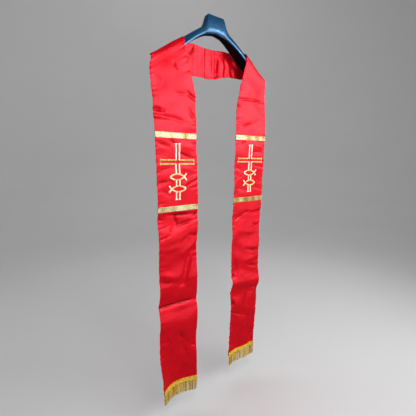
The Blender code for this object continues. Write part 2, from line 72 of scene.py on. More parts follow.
lens = bpy.data.cameras.new("photo_view")
lens.sensor_width = SENSOR
lens.lens = SENSOR * FOCAL_PIXELS / PICTURE_PIXELS
lens.clip_start = 0.02
camera = bpy.data.objects.new("photo_view", lens)
bpy.context.collection.objects.link(camera)
camera_right, camera_up, camera_forward = camera_axes()
turned = np.eye(4)
turned[:3, 0], turned[:3, 1], turned[:3, 2] = camera_right, camera_up, -camera_forward
turned[:3, 3] = CAMERA_AT
camera.matrix_world = Matrix(turned.tolist())
bpy.context.scene.camera = camera
print("lens:", round(lens.lens, 2), "mm")

# %% [markdown]
# Satin shows its folds through its sheen, so the light matters as much as the cloth. One large
# soft light high on the right gives the pale bloom on the upper panels and on the neck of the
# hanger. A second on the left models the folds, and two weak ones light the back. The floor
# is a pale disc that curves up into a wall far away, so every view has the same plain ground.

# %% Light and floor
LIGHTS = (
    # name, place, aim, size, watts, seen in reflections
    ("sheen", (0.62, -1.17, 0.03), (0.0, 0.0, -0.32), (1.90, 0.74), 23.5, True),
    ("low_sheen", (0.70, -1.13, -0.93), (0.0, 0.0, -0.90), (1.50, 0.30), 2.8, True),
    ("neck", (0.64, -1.07, 0.20), (0.02, 0.0, -0.05), (0.10, 0.10), 1.1, True),
    ("above", (-0.30, -0.85, 0.85), (0.0, 0.0, -0.15), (0.40, 0.40), 6.0, False),
    ("fill", (-1.35, -1.00, -0.75), (0.0, 0.0, -0.80), (1.20, 1.00), 5.0, False),
    ("ground", (0.60, 1.20, 2.40), (0.9, 1.4, -1.27), (2.00, 2.00), 26.0, False),
    ("back_left", (-1.10, 1.40, 0.50), (0.0, 0.0, -0.50), (0.90, 0.90), 6.0, True),
    ("back_right", (1.60, 0.35, 0.50), (0.0, 0.0, -0.50), (0.90, 0.90), 5.0, False),
)
FLOOR_Z = -1.270
# Columns: radius and height above the floor of the ground's profile
GROUND = ((0.0, 0.0), (1.9, 0.0), (2.3, 0.03), (2.65, 0.16), (2.92, 0.42), (3.05, 0.80), (3.1, 1.9),
          (3.1, 4.5))


def aimed_light(name, place, aim, size, watts, shines):
    """Oblong area light at a place, its face turned to look at the aim."""
    data = bpy.data.lights.new(name, "AREA")
    data.shape = "RECTANGLE"
    data.size, data.size_y = size
    data.energy = watts
    lamp = bpy.data.objects.new(name, data)
    lamp.visible_camera = False
    lamp.visible_glossy = shines
    back = np.array(place) - np.array(aim)
    back = back / np.linalg.norm(back)
    side = np.cross([0.0, 0.0, 1.0], back)
    side = side / np.linalg.norm(side)
    facing = np.eye(4)
    facing[:3, 0], facing[:3, 1], facing[:3, 2] = side, np.cross(back, side), back
    facing[:3, 3] = place
    lamp.matrix_world = Matrix(facing.tolist())
    bpy.context.collection.objects.link(lamp)


for row in LIGHTS:
    aimed_light(*row)
world = bpy.data.worlds.new("studio")
bpy.context.scene.world = world
world.use_nodes = True
world.node_tree.nodes["Background"].inputs["Color"].default_value = (0.93, 0.95, 1.0, 1.0)
world.node_tree.nodes["Background"].inputs["Strength"].default_value = 0.07
bpy.context.scene.view_settings.view_transform = "Standard"
print("lights:", len(LIGHTS))

# %% [markdown]
# Every piece below is a grid of points worked out as whole arrays. These helpers turn such
# grids into meshes: one fills a mesh from points and faces, one numbers the faces of a grid,
# and one closes two equal grids into a wall, the way two layers of cloth meet at an edge.

# %% Mesh helpers
def make_piece(name, points, faces, uv=None, marks=None, stage=False):
    """Mesh object from an (n, 3) array and a list of (m, k) index arrays, smooth shaded.

    uv is one pair for each point, and every face corner takes the pair of its point. marks
    names numbers that each point carries for the materials.
    """
    mesh = bpy.data.meshes.new(name)
    corners = np.concatenate([np.asarray(f).ravel() for f in faces]).astype(np.int32)
    sizes = np.concatenate([np.full(len(f), np.asarray(f).shape[1]) for f in faces])
    starts = np.concatenate([[0], np.cumsum(sizes)[:-1]]).astype(np.int32)
    mesh.vertices.add(len(points))
    mesh.vertices.foreach_set("co", np.asarray(points, dtype=np.float32).ravel())
    mesh.loops.add(len(corners))
    mesh.loops.foreach_set("vertex_index", corners)
    mesh.polygons.add(len(sizes))
    mesh.polygons.foreach_set("loop_start", starts)
    mesh.polygons.foreach_set("use_smooth", np.ones(len(sizes), dtype=bool))
    if uv is not None:
        layer = mesh.uv_layers.new(name="along")
        layer.data.foreach_set("uv", np.asarray(uv, dtype=np.float32)[corners].ravel())
    for mark, values in (marks or {}).items():
        carried = mesh.attributes.new(mark, "FLOAT", "POINT")
        carried.data.foreach_set("value", np.asarray(values, dtype=np.float32).ravel())
    mesh.update(calc_edges=True)
    mesh.validate()
    piece = bpy.data.objects.new(name, mesh)
    bpy.context.collection.objects.link(piece)
    if stage:
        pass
    else:
        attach(piece, "root")
    return piece


def grid_faces(rows, columns, start=0, around=False):
    """Quads of a grid of points numbered row by row; around joins the last column to the first."""
    index = start + np.arange(rows * columns).reshape(rows, columns)
    if around:
        index = np.hstack([index, index[:, :1]])
    quads = np.stack([index[:-1, :-1], index[:-1, 1:], index[1:, 1:], index[1:, :-1]], axis=-1)
    return quads.reshape(-1, 4)


def wall_faces(rows, columns, flip):
    """Quads of a closed wall whose front grid is numbered first and its back grid second."""
    count = rows * columns
    front = grid_faces(rows, columns)
    back = grid_faces(rows, columns, count)[:, ::-1]
    index = np.arange(count).reshape(rows, columns)
    rim = np.concatenate([index[0, :], index[1:, -1], index[-1, -2::-1], index[-2:0:-1, 0]])
    after = np.roll(rim, -1)
    edge = np.stack([after, rim, rim + count, after + count], axis=1)
    faces = np.concatenate([front, back, edge])
    return faces[:, ::-1] if flip else faces


def ground_piece():
    """The ground: its profile turned once round Z."""
    profile = np.array(GROUND)
    angle = np.linspace(0, 2 * np.pi, 72, endpoint=False)
    radius = np.maximum(profile[:, 0], 0.001)
    points = np.stack([radius[:, None] * np.cos(angle), radius[:, None] * np.sin(angle),
                       np.repeat(profile[:, 1:] + FLOOR_Z, 72, axis=1)], axis=-1).reshape(-1, 3)
    middle = np.arange(72)[None, :]
    return make_piece("ground", points, [grid_faces(len(profile), 72, around=True)[:, ::-1], middle],
                      stage=True)


ground = ground_piece()
print("ground faces:", len(ground.data.polygons))

# %% [markdown]
# Cloth, stitches and moulded plastic share two effects, so each is a node group, built once
# and placed in every material with its own numbers. The first is a weave: fine threads that
# cross. The second is a slow mottling, for dye, wear and the dull patches in metallic yarn.

# %% Shared effects
def new_group(name, inputs, outputs):
    """Empty shader group with float or vector inputs and float outputs, ends placed."""
    group = bpy.data.node_groups.new(name, "ShaderNodeTree")
    for title, kind, value in inputs:
        socket = group.interface.new_socket(title, in_out="INPUT", socket_type=kind)
        if value is not None:
            socket.default_value = value
    for title in outputs:
        group.interface.new_socket(title, in_out="OUTPUT", socket_type="NodeSocketFloat")
    return group, group.nodes.new("NodeGroupInput"), group.nodes.new("NodeGroupOutput")


def add_node(tree, kind, values=None, **settings):
    """One node with its settings and the default values of its inputs."""
    node = tree.nodes.new(kind)
    for key, value in settings.items():
        setattr(node, key, value)
    for key, value in (values or {}).items():
        node.inputs[key].default_value = value
    return node


def math_node(tree, operation, a, b=None, c=None):
    """Math node fed by sockets or numbers, giving back its output socket."""
    node = add_node(tree, "ShaderNodeMath", operation=operation)
    for slot, source in enumerate((a, b, c)):
        if source is None:
            continue
        if isinstance(source, (int, float)):
            node.inputs[slot].default_value = source
        else:
            tree.links.new(source, node.inputs[slot])
    return node.outputs[0]


def thread_group():
    """Threads that cross: two sine ridges over the vector's X and Y, one fading the other.

    Height is the raised cloth surface, and Warp says which threads lie on top.
    """
    group, start, end = new_group(
        "crossing threads",
        (("Vector", "NodeSocketVector", None), ("Across per metre", "NodeSocketFloat", 2200.0),
         ("Along per metre", "NodeSocketFloat", 900.0), ("Along share", "NodeSocketFloat", 0.3)),
        ("Height", "Warp"))
    split = add_node(group, "ShaderNodeSeparateXYZ")
    group.links.new(start.outputs["Vector"], split.inputs[0])
    waves = []
    for axis, pitch in (("X", "Across per metre"), ("Y", "Along per metre")):
        turn = math_node(group, "MULTIPLY", split.outputs[axis], start.outputs[pitch])
        turn = math_node(group, "MULTIPLY", turn, 2 * math.pi)
        waves.append(math_node(group, "MULTIPLY_ADD", math_node(group, "SINE", turn), 0.5, 0.5))
    share = start.outputs["Along share"]
    across = math_node(group, "MULTIPLY", waves[0], math_node(group, "SUBTRACT", 1.0, share))
    total = math_node(group, "ADD", across, math_node(group, "MULTIPLY", waves[1], share))
    group.links.new(total, end.inputs["Height"])
    group.links.new(waves[0], end.inputs["Warp"])
    return group


def mottle_group():
    """Slow uneven tone: a coarse and a fine noise, mixed and stretched to span 0 to 1."""
    group, start, end = new_group(
        "uneven tone",
        (("Vector", "NodeSocketVector", None), ("Per metre", "NodeSocketFloat", 60.0),
         ("Fine share", "NodeSocketFloat", 0.35), ("Contrast", "NodeSocketFloat", 2.0)),
        ("Tone",))
    noises = []
    for times in (1.0, 5.3):
        noise = add_node(group, "ShaderNodeTexNoise", {"Detail": 3.0, "Roughness": 0.55})
        group.links.new(start.outputs["Vector"], noise.inputs["Vector"])
        scale = math_node(group, "MULTIPLY", start.outputs["Per metre"], times)
        group.links.new(scale, noise.inputs["Scale"])
        noises.append(noise.outputs["Fac"])
    share = start.outputs["Fine share"]
    slow = math_node(group, "MULTIPLY", noises[0], math_node(group, "SUBTRACT", 1.0, share))
    both = math_node(group, "ADD", slow, math_node(group, "MULTIPLY", noises[1], share))
    centred = math_node(group, "SUBTRACT", both, 0.5)
    wide = math_node(group, "MULTIPLY_ADD", centred, start.outputs["Contrast"], 0.5)
    clamp = add_node(group, "ShaderNodeClamp")
    group.links.new(wide, clamp.inputs["Value"])
    group.links.new(clamp.outputs[0], end.inputs["Tone"])
    return group


THREADS = thread_group()
MOTTLE = mottle_group()
print("groups:", THREADS.name, "and", MOTTLE.name)

# %% [markdown]
# Each finish is a small recipe: a principled shader, one or two groups that vary its colour
# and roughness, and a bump from the threads. Numbers that are the same all over sit on the
# shader itself, where an exported model keeps them.

# %% Materials
def finish(name, stops, roughness, values, tone, threads=None, bump=0.0, mark=None,
           wrinkled=0.0):
    """Material whose colour runs through stops with the uneven tone, over woven threads.

    stops are (place from 0 to 1, colour), tone is (per metre, fine share, contrast, roughness
    spread, coordinate), threads is (across per metre, along per metre, along share, share of
    tone lost between threads), and mark is (point number's name, weight, its middle). wrinkled
    is how far the uneven tone also lifts the surface, in thread heights.
    """
    material = bpy.data.materials.new(name)
    material.use_nodes = True
    tree = material.node_tree
    shader = tree.nodes["Principled BSDF"]
    for key, value in values.items():
        shader.inputs[key].default_value = value
    place = tree.nodes.new("ShaderNodeTexCoord")
    per_metre, fine, contrast, spread, source = tone
    mottle = add_node(tree, "ShaderNodeGroup", node_tree=MOTTLE)
    for key, value in (("Per metre", per_metre), ("Fine share", fine), ("Contrast", contrast)):
        mottle.inputs[key].default_value = value
    tree.links.new(place.outputs[source], mottle.inputs["Vector"])
    amount = mottle.outputs["Tone"]
    height = amount
    if threads:
        weave = add_node(tree, "ShaderNodeGroup", node_tree=THREADS)
        across, along, share, lost = threads
        for key, value in (("Across per metre", across), ("Along per metre", along),
                           ("Along share", share)):
            weave.inputs[key].default_value = value
        tree.links.new(place.outputs["UV"], weave.inputs["Vector"])
        kept = math_node(tree, "MULTIPLY_ADD", weave.outputs["Height"], lost, 1.0 - lost)
        amount = math_node(tree, "MULTIPLY", amount, kept)
        height = math_node(tree, "MULTIPLY_ADD", mottle.outputs["Tone"], wrinkled,
                           weave.outputs["Height"])
    if mark:
        carried = add_node(tree, "ShaderNodeAttribute", attribute_name=mark[0])
        shift = math_node(tree, "MULTIPLY_ADD", carried.outputs["Fac"], mark[1], -mark[1] * mark[2])
        amount = math_node(tree, "ADD", amount, shift)
    ramp = tree.nodes.new("ShaderNodeValToRGB")
    while len(ramp.color_ramp.elements) < len(stops):
        ramp.color_ramp.elements.new(0.5)
    for element, (at, colour) in zip(ramp.color_ramp.elements, stops):
        element.position = at
        element.color = (*colour, 1.0)
    tree.links.new(amount, ramp.inputs["Fac"])
    tree.links.new(ramp.outputs["Color"], shader.inputs["Base Color"])
    rough = math_node(tree, "MULTIPLY_ADD", mottle.outputs["Tone"], -spread, roughness + spread / 2)
    tree.links.new(rough, shader.inputs["Roughness"])
    if bump:
        relief = add_node(tree, "ShaderNodeBump", {"Strength": 1.0, "Distance": bump})
        tree.links.new(height, relief.inputs["Height"])
        tree.links.new(relief.outputs["Normal"], shader.inputs["Normal"])
    return material


# The deep mark pulls the colour toward the darkest stop in the narrow creases of the front panels: painted
# shade standing in for the shade that falls in them.
SATIN = finish(
    "red satin", ((0.0, (0.27, 0.0002, 0.003)), (0.28, (0.66, 0.0006, 0.008)),
                  (1.0, (0.88, 0.0020, 0.016))), 0.36,
    {"Metallic": 0.35, "Specular IOR Level": 0.50, "Specular Tint": (1.0, 0.52, 0.64, 1.0)},
    (26.0, 0.30, 1.5, 0.10, "UV"), (1500.0, 640.0, 0.35, 0.12), 0.00003, ("deep", -0.62, 0.0),
    wrinkled=20.0)
# The patch mark darkens listed patches toward brown: painted shade where the yarn catches no light.
GALLOON = finish(
    "gold galloon", ((0.0, (0.20, 0.115, 0.008)), (0.30, (0.62, 0.44, 0.08)),
                     (0.55, (0.76, 0.67, 0.31)), (0.80, (0.82, 0.79, 0.60))), 0.32,
    {"Metallic": 0.30, "Specular IOR Level": 0.6},
    (300.0, 0.62, 9.0, 0.16, "UV"), (560.0, 1150.0, 0.45, 0.15), 0.00016, ("painted_dim", -0.65, 0.14))
# The upright mark paints upright strokes pale cream and level strokes darker gold: a painted sheen that
# depends on which way the stroke runs.
STITCH = finish(
    "gold stitch", ((0.0, (0.36, 0.23, 0.022)), (0.45, (0.78, 0.60, 0.17)),
                    (0.90, (1.0, 0.97, 0.78))), 0.34,
    {"Metallic": 0.15, "Specular IOR Level": 0.6},
    (140.0, 0.40, 2.6, 0.14, "Object"), (250.0, 1450.0, 0.85, 0.25), 0.00012, ("upright", 0.60, 0.22))
# The cord mark adds painted shade in the grooves between plies and painted highlight on their crowns, over
# a random tone for each strand.
CORD = finish(
    "gold cord", ((0.0, (0.26, 0.115, 0.003)), (0.45, (0.78, 0.45, 0.016)),
                  (1.0, (1.0, 0.76, 0.17))), 0.36,
    {"Metallic": 0.35, "Specular IOR Level": 0.35},
    (170.0, 0.45, 3.6, 0.16, "Object"), (10.0, 1300.0, 0.80, 0.30), 0.00012, ("painted_ply_shade_and_tone", 0.8, 0.5))
SHELL = finish(
    "blue shell", ((0.0, (0.008, 0.068, 0.155)), (1.0, (0.015, 0.105, 0.225))), 0.27,
    {"Metallic": 0.55, "Coat Weight": 0.35, "Coat Roughness": 0.16},
    (38.0, 0.30, 1.6, 0.06, "Object"), None, 0.000004)
PLATE = finish(
    "black plate", ((0.0, (0.0020, 0.0022, 0.0026)), (1.0, (0.0050, 0.0052, 0.0058))), 0.55,
    {"Specular IOR Level": 0.08},
    (900.0, 0.55, 2.5, 0.12, "Object"), None, 0.00006)
GROUND_FINISH = finish(
    "pale ground", ((0.0, (0.60, 0.60, 0.605)), (1.0, (0.63, 0.63, 0.635))), 0.85,
    {"Specular IOR Level": 0.2}, (3.0, 0.2, 1.0, 0.02, "Object"))
ground.data.materials.append(GROUND_FINISH)
ground.visible_glossy = False
print("finishes:", len(bpy.data.materials))

# %% [markdown]
# The hanger comes next, because the cloth lies on it. It is a hollow moulding with a neck, no
# hook in view, and two arms that slope down and grow broad so they don't mark a garment. Its
# section is a squarish oval, flat underneath, with a black plate let into the underside.
# A loft through stations along X suits it: a table gives each station's size, and a smooth
# curve through the table gives as many stations as the gloss needs.

# %% Hanger sizes
# Columns: x, top, underside, half depth, squareness of the section
HANGER = np.array([
    (0.0000, 0.0000, -0.0490, 0.0122, 0.50), (0.0270, 0.0000, -0.0538, 0.0130, 0.50),
    (0.0294, -0.0014, -0.0546, 0.0132, 0.50), (0.0316, -0.0062, -0.0554, 0.0134, 0.50),
    (0.0346, -0.0155, -0.0566, 0.0139, 0.52), (0.0400, -0.0285, -0.0590, 0.0148, 0.56),
    (0.0480, -0.0380, -0.0630, 0.0162, 0.60), (0.0600, -0.0463, -0.0697, 0.0181, 0.66),
    (0.0750, -0.0560, -0.0790, 0.0200, 0.72), (0.0900, -0.0662, -0.0896, 0.0216, 0.80),
    (0.1040, -0.0757, -0.1000, 0.0226, 0.86), (0.1180, -0.0850, -0.1107, 0.0224, 0.90),
    (0.1600, -0.1127, -0.1372, 0.0186, 0.90), (0.1900, -0.1325, -0.1535, 0.0138, 0.90)])
# Columns: x, scale of the section
TIP = np.array([(0.1900, 1.00), (0.1940, 0.97), (0.1972, 0.88), (0.1992, 0.74), (0.2002, 0.56)])
NECK_FLAT, ARM_TURN, NECK_CROWN = 0.0265, 0.050, 0.03
PLATE_REACH, PLATE_DEEP, PLATE_LIP = 0.1870, 0.0022, 0.0020
ARM_SLOPE, STRAIGHT_X, STRAIGHT_TOP = 0.66, 0.1180, -0.0850
GAP = 0.0003


def smooth(x, knots, values):
    """Cubic pieces through knots, with slopes that never overshoot the values."""
    step = np.diff(knots)
    rise = np.diff(values) / step
    same = rise[:-1] * rise[1:] > 0
    mean = 2 * rise[:-1] * rise[1:] / np.where(same, rise[:-1] + rise[1:], 1.0)
    slope = np.concatenate([rise[:1], np.where(same, mean, 0.0), rise[-1:]])
    x = np.clip(x, knots[0], knots[-1])
    k = np.clip(np.searchsorted(knots, x) - 1, 0, len(step) - 1)
    u = (x - knots[k]) / step[k]
    return ((1 + 2 * u) * (1 - u) ** 2 * values[k] + u * (1 - u) ** 2 * step[k] * slope[k]
            + u * u * (3 - 2 * u) * values[k + 1] - u * u * (1 - u) * step[k] * slope[k + 1])


def ease(x, start, end):
    """0 before start and 1 after end, with soft ends between them."""
    u = np.clip((x - start) / (end - start), 0.0, 1.0)
    return u * u * (3 - 2 * u)


def hanger_at(x, column):
    """One column of the hanger's table at a distance from its middle."""
    return smooth(np.minimum(np.abs(x), HANGER[-1, 0]), HANGER[:, 0], HANGER[:, column])


# %% Hanger
STATIONS, AROUND = 150, 64
SOFT_EDGE, SOFT_IN = 0.0075, 0.0013


def hanger_stations():
    """Signed x, top, underside, half depth and squareness at every station, tip to tip."""
    reach = np.concatenate([np.linspace(0.0, 0.190, STATIONS), np.linspace(0.1908, 0.2002, 10)])
    top, under, half, square = (hanger_at(reach, k) for k in (1, 2, 3, 4))
    scale = smooth(reach, TIP[:, 0], TIP[:, 1])
    drop = ARM_SLOPE * np.maximum(reach - HANGER[-1, 0], 0.0)
    middle = (top + under) / 2 - drop
    tall = (top - under) / 2 * scale
    right = np.stack([reach, middle + tall, middle - tall, half * scale, square], axis=1)
    return np.vstack([right[:0:-1] * [-1, 1, 1, 1, 1], right])


def shell_piece():
    """Rings round the arm: a squarish oval above, a flat lip and the plate's recess below.

    Half way round, y is the half depth times the cosine and z the height times the sine,
    each raised to the station's squareness, cut off at the neck's flat top. Both sides
    draw in toward the lip by the square of the depth into the soft edge.
    """
    at = hanger_stations()
    x, top, under, half, square = (at[:, k, None] for k in range(5))
    angle = np.linspace(0.0, np.pi, AROUND + 1)[None, :]
    rise = 1 + NECK_CROWN * (1 - ease(np.abs(x), NECK_FLAT, ARM_TURN))
    y = half * np.sign(np.cos(angle)) * np.abs(np.cos(angle)) ** square
    z = under + (top - under) * rise * np.abs(np.sin(angle)) ** square
    z = np.minimum(z, top)
    z[:, [0, -1]] = under
    into = np.clip((under + SOFT_EDGE - z) / SOFT_EDGE, 0.0, 1.0)
    y = y - np.sign(y) * SOFT_IN * into ** 2
    half = half - SOFT_IN
    deep = np.where(np.abs(x) <= PLATE_REACH, PLATE_DEEP, 0.00015)
    lip = half - PLATE_LIP
    foot_y = np.hstack([-half + 0.0005, -lip, -lip, lip, lip, half - 0.0005])
    foot_z = np.hstack([under - 0.0003, under - 0.0003, under + deep, under + deep,
                        under - 0.0003, under - 0.0003])
    ring = np.stack([np.broadcast_to(x, (len(at), AROUND + 7)), np.hstack([y, foot_y]),
                     np.hstack([z, foot_z])], axis=-1)
    rows, columns = ring.shape[:2]
    ends = [np.arange(columns)[None, ::-1], (rows - 1) * columns + np.arange(columns)[None, :]]
    return make_piece("hanger_blue_shell", ring.reshape(-1, 3),
                      [grid_faces(rows, columns, around=True)] + ends)


def plate_piece():
    """A thin bar that follows the arms' underside, its lower corners rounded."""
    at = hanger_stations()
    at = at[np.abs(at[:, 0]) <= PLATE_REACH]
    x, under, side = at[:, 0, None], at[:, 2, None], at[:, 3, None] - SOFT_IN - PLATE_LIP - GAP
    soft = 0.0006
    y = np.hstack([-side + soft, -side, -side, side, side, side - soft])
    roof = under + PLATE_DEEP - GAP
    z = np.hstack([under, under + soft, roof, roof, under + soft, under])
    ring = np.stack([np.broadcast_to(x, y.shape), y, z], axis=-1)
    rows = len(at)
    ends = [np.arange(6)[None, :], (rows - 1) * 6 + np.arange(6)[None, ::-1]]
    return make_piece("hanger_black_plate", ring.reshape(-1, 3),
                      [grid_faces(rows, 6, around=True)[:, ::-1]] + ends)


shell = shell_piece()
shell.data.materials.append(SHELL)
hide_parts("hanger_shell")
plate = plate_piece()
plate.data.materials.append(PLATE)
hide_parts("hanger_underside")
for hard, sharp in ((shell, 64), (plate, 38)):
    hard.data.set_sharp_from_angle(angle=math.radians(sharp))
print("hanger faces:", len(shell.data.polygons), "and", len(plate.data.polygons))

# %% [markdown]
# Now the cloth. A real stole half is one strip: an edge on each side, sections across it, and
# a path from hem to seam. The surface is worked out the same way. A table gives the inner and
# outer edge at chosen heights, a point part of the way across is mixed from the two, and its
# depth comes from what the cloth lies on: a flat fall in front, the hanger's arm at the fold,
# and the strip that goes round behind the neck. It could also be draped by simulation, but
# then the folds of this stole would be lost, and they are what gives it its character.

# %% Cloth sizes
CLOTH = 0.0015
SEAT = 0.0016
PANEL_PLANE, FRONT_TOP, ARM_START = -0.0235, -0.265, -0.215
FLAT_TOP, FLAT_END, FOLD_FADE = -0.330, -0.588, 0.020
ROW_PITCH, SIDE_SLIP, TIP_BLEND, TAUT = 0.0155, -0.002, 0.022, 0.68
HEM_Z = {"left": -1.1620, "right": -1.1517}
HEM_STEADY, CURL_START = 0.0185, -0.960
CORNER_IN, CORNER_OUT, CORNER_FLARE = 0.1150, 0.2090, 0.0072
# Columns: z, inner |x|, outer |x|
PANEL = {
    "left": np.array([
        (-0.265, 0.0808, 0.2157), (-0.343, 0.0795, 0.2142), (-0.460, 0.0755, 0.2108),
        (-0.560, 0.0725, 0.2097), (-0.660, 0.0750, 0.2100), (-0.770, 0.0765, 0.2108),
        (-0.880, 0.0725, 0.2100), (-0.950, 0.0765, 0.2130), (-1.050, 0.0800, 0.2140),
        (-1.110, 0.0820, 0.2109), (-1.168, 0.0815, 0.2080)]),
    "right": np.array([
        (-0.265, 0.0776, 0.2146), (-0.345, 0.0765, 0.2142), (-0.450, 0.0750, 0.2110),
        (-0.560, 0.0740, 0.2085), (-0.680, 0.0720, 0.2040), (-0.770, 0.0720, 0.2045),
        (-0.870, 0.0748, 0.2100), (-0.955, 0.0750, 0.2050), (-1.010, 0.0730, 0.2020),
        (-1.090, 0.0685, 0.1980), (-1.168, 0.0640, 0.1965)]),
}
# Columns: inner |x|, z, outer |x|, z, share of the stole's sideways slip
SHOULDER = (
    (0.0810, -0.2350, 0.2153, -0.2540, 0.20), (0.0860, -0.2100, 0.2154, -0.2435, 0.60),
    (0.0938, -0.1855, 0.2156, -0.2305, 1.00), (0.1012, -0.1615, 0.2160, -0.2160, 1.40),
    (0.1080, -0.1390, 0.2163, -0.1990, 1.80))
FOLD_DROPS = (0.0285, 0.0200, 0.0125, 0.0070, 0.0032, 0.0010, 0.0)
BACK_DROPS = ((0.0009, 0.0035), (0.0022, 0.0070))
BACK = {
    "left": (
        (0.1148, -0.0839, 0.1978, -0.1425, 1.00),
        (0.1146, -0.0842, 0.1958, -0.1487, 1.00), (0.1136, -0.0842, 0.1912, -0.1495, 1.00),
        (0.1122, -0.0840, 0.1852, -0.1506, 1.00), (0.1102, -0.0836, 0.1775, -0.1534, 1.00),
        (0.1076, -0.0830, 0.1680, -0.1570, 0.95), (0.1044, -0.0822, 0.1562, -0.1606, 0.85),
        (0.1004, -0.0812, 0.1428, -0.1638, 0.70), (0.0952, -0.0800, 0.1280, -0.1662, 0.50),
        (0.0886, -0.0788, 0.1125, -0.1678, 0.30), (0.0806, -0.0779, 0.0970, -0.1687, 0.15),
        (0.0715, -0.0772, 0.0820, -0.1690, 0.05), (0.0615, -0.0768, 0.0680, -0.1690, 0.00),
        (0.0510, -0.0770, 0.0545, -0.1685, 0.00), (0.0400, -0.0777, 0.0415, -0.1675, 0.00),
        (0.0285, -0.0787, 0.0290, -0.1668, 0.00), (0.0170, -0.0799, 0.0170, -0.1665, 0.00),
        (0.0050, -0.0808, 0.0050, -0.1664, 0.00)),
    "right": (
        (0.1148, -0.0839, 0.1978, -0.1425, 1.00),
        (0.1146, -0.0842, 0.1958, -0.1484, 1.00), (0.1136, -0.0841, 0.1912, -0.1486, 1.00),
        (0.1122, -0.0837, 0.1852, -0.1488, 1.00), (0.1102, -0.0830, 0.1775, -0.1490, 1.00),
        (0.1076, -0.0820, 0.1680, -0.1493, 0.95), (0.1044, -0.0806, 0.1562, -0.1496, 0.85),
        (0.1004, -0.0789, 0.1428, -0.1500, 0.70), (0.0952, -0.0772, 0.1280, -0.1506, 0.50),
        (0.0886, -0.0758, 0.1125, -0.1504, 0.30), (0.0806, -0.0750, 0.0970, -0.1500, 0.15),
        (0.0715, -0.0748, 0.0820, -0.1502, 0.05), (0.0615, -0.0752, 0.0680, -0.1522, 0.00),
        (0.0510, -0.0762, 0.0545, -0.1558, 0.00), (0.0400, -0.0774, 0.0415, -0.1600, 0.00),
        (0.0285, -0.0786, 0.0290, -0.1644, 0.00), (0.0170, -0.0798, 0.0170, -0.1666, 0.00),
        (0.0050, -0.0806, 0.0050, -0.1690, 0.00)),
}
BACK_PLANE, TURN_ROUND = 0.0300, 4
BACK_TURN, LAP_FADE = (0.0850, 0.1190), (0.070, 0.110)
SEAM_X = {"left": 0.0080, "right": -0.0150}
SEAM_Z = {"left": (-0.0811, -0.1662), "right": (-0.0806, -0.1697)}
LAP = {"left": 0.0, "right": -(CLOTH + GAP)}
BACK_WAVES = {"left": 0.0012, "right": 0.0030}
WAVE_LONG, WAVE_FROM, WAVE_TOP = 0.038, 0.020, 0.35
WAVE_RISE, WAVE_FADE = (0.012, 0.030), (0.075, 0.100)
# Columns: |x|, z of one end, |x|, z of the other, height toward the viewer, half width
FOLDS = {
    "left": (
        (0.215, -0.872, 0.080, -0.879, -0.0085, 0.026), (0.215, -0.925, 0.080, -0.945, 0.0050, 0.034),
        (0.205, -0.800, 0.110, -0.785, 0.0045, 0.036), (0.129, -0.795, 0.077, -0.679, -0.0045, 0.022),
        (0.210, -0.660, 0.090, -0.628, 0.0040, 0.026), (0.205, -1.020, 0.100, -1.035, -0.0030, 0.034)),
    "right": (
        (0.076, -0.628, 0.203, -0.600, -0.0035, 0.018), (0.076, -0.856, 0.209, -0.874, 0.0050, 0.022),
        (0.080, -0.905, 0.209, -0.915, -0.0045, 0.026), (0.088, -0.830, 0.100, -0.700, -0.0035, 0.020),
        (0.190, -0.735, 0.150, -0.790, 0.0035, 0.024), (0.080, -0.985, 0.152, -1.012, -0.0030, 0.018)),
}
# Columns: share of the width from the inner edge, y at the hem
CURL = {
    "left": np.array([(0.00, -0.0345), (0.20, -0.0260), (0.42, -0.0182), (0.60, -0.0162),
                      (0.76, -0.0200), (0.88, -0.0270), (1.00, -0.0375)]),
    "right": np.array([(0.00, -0.0260), (0.14, -0.0200), (0.30, -0.0172), (0.52, -0.0208),
                       (0.72, -0.0222), (0.87, -0.0202), (1.00, -0.0232)]),
}
SIDES = ("left", "right")
WAY = {"left": -1, "right": 1}
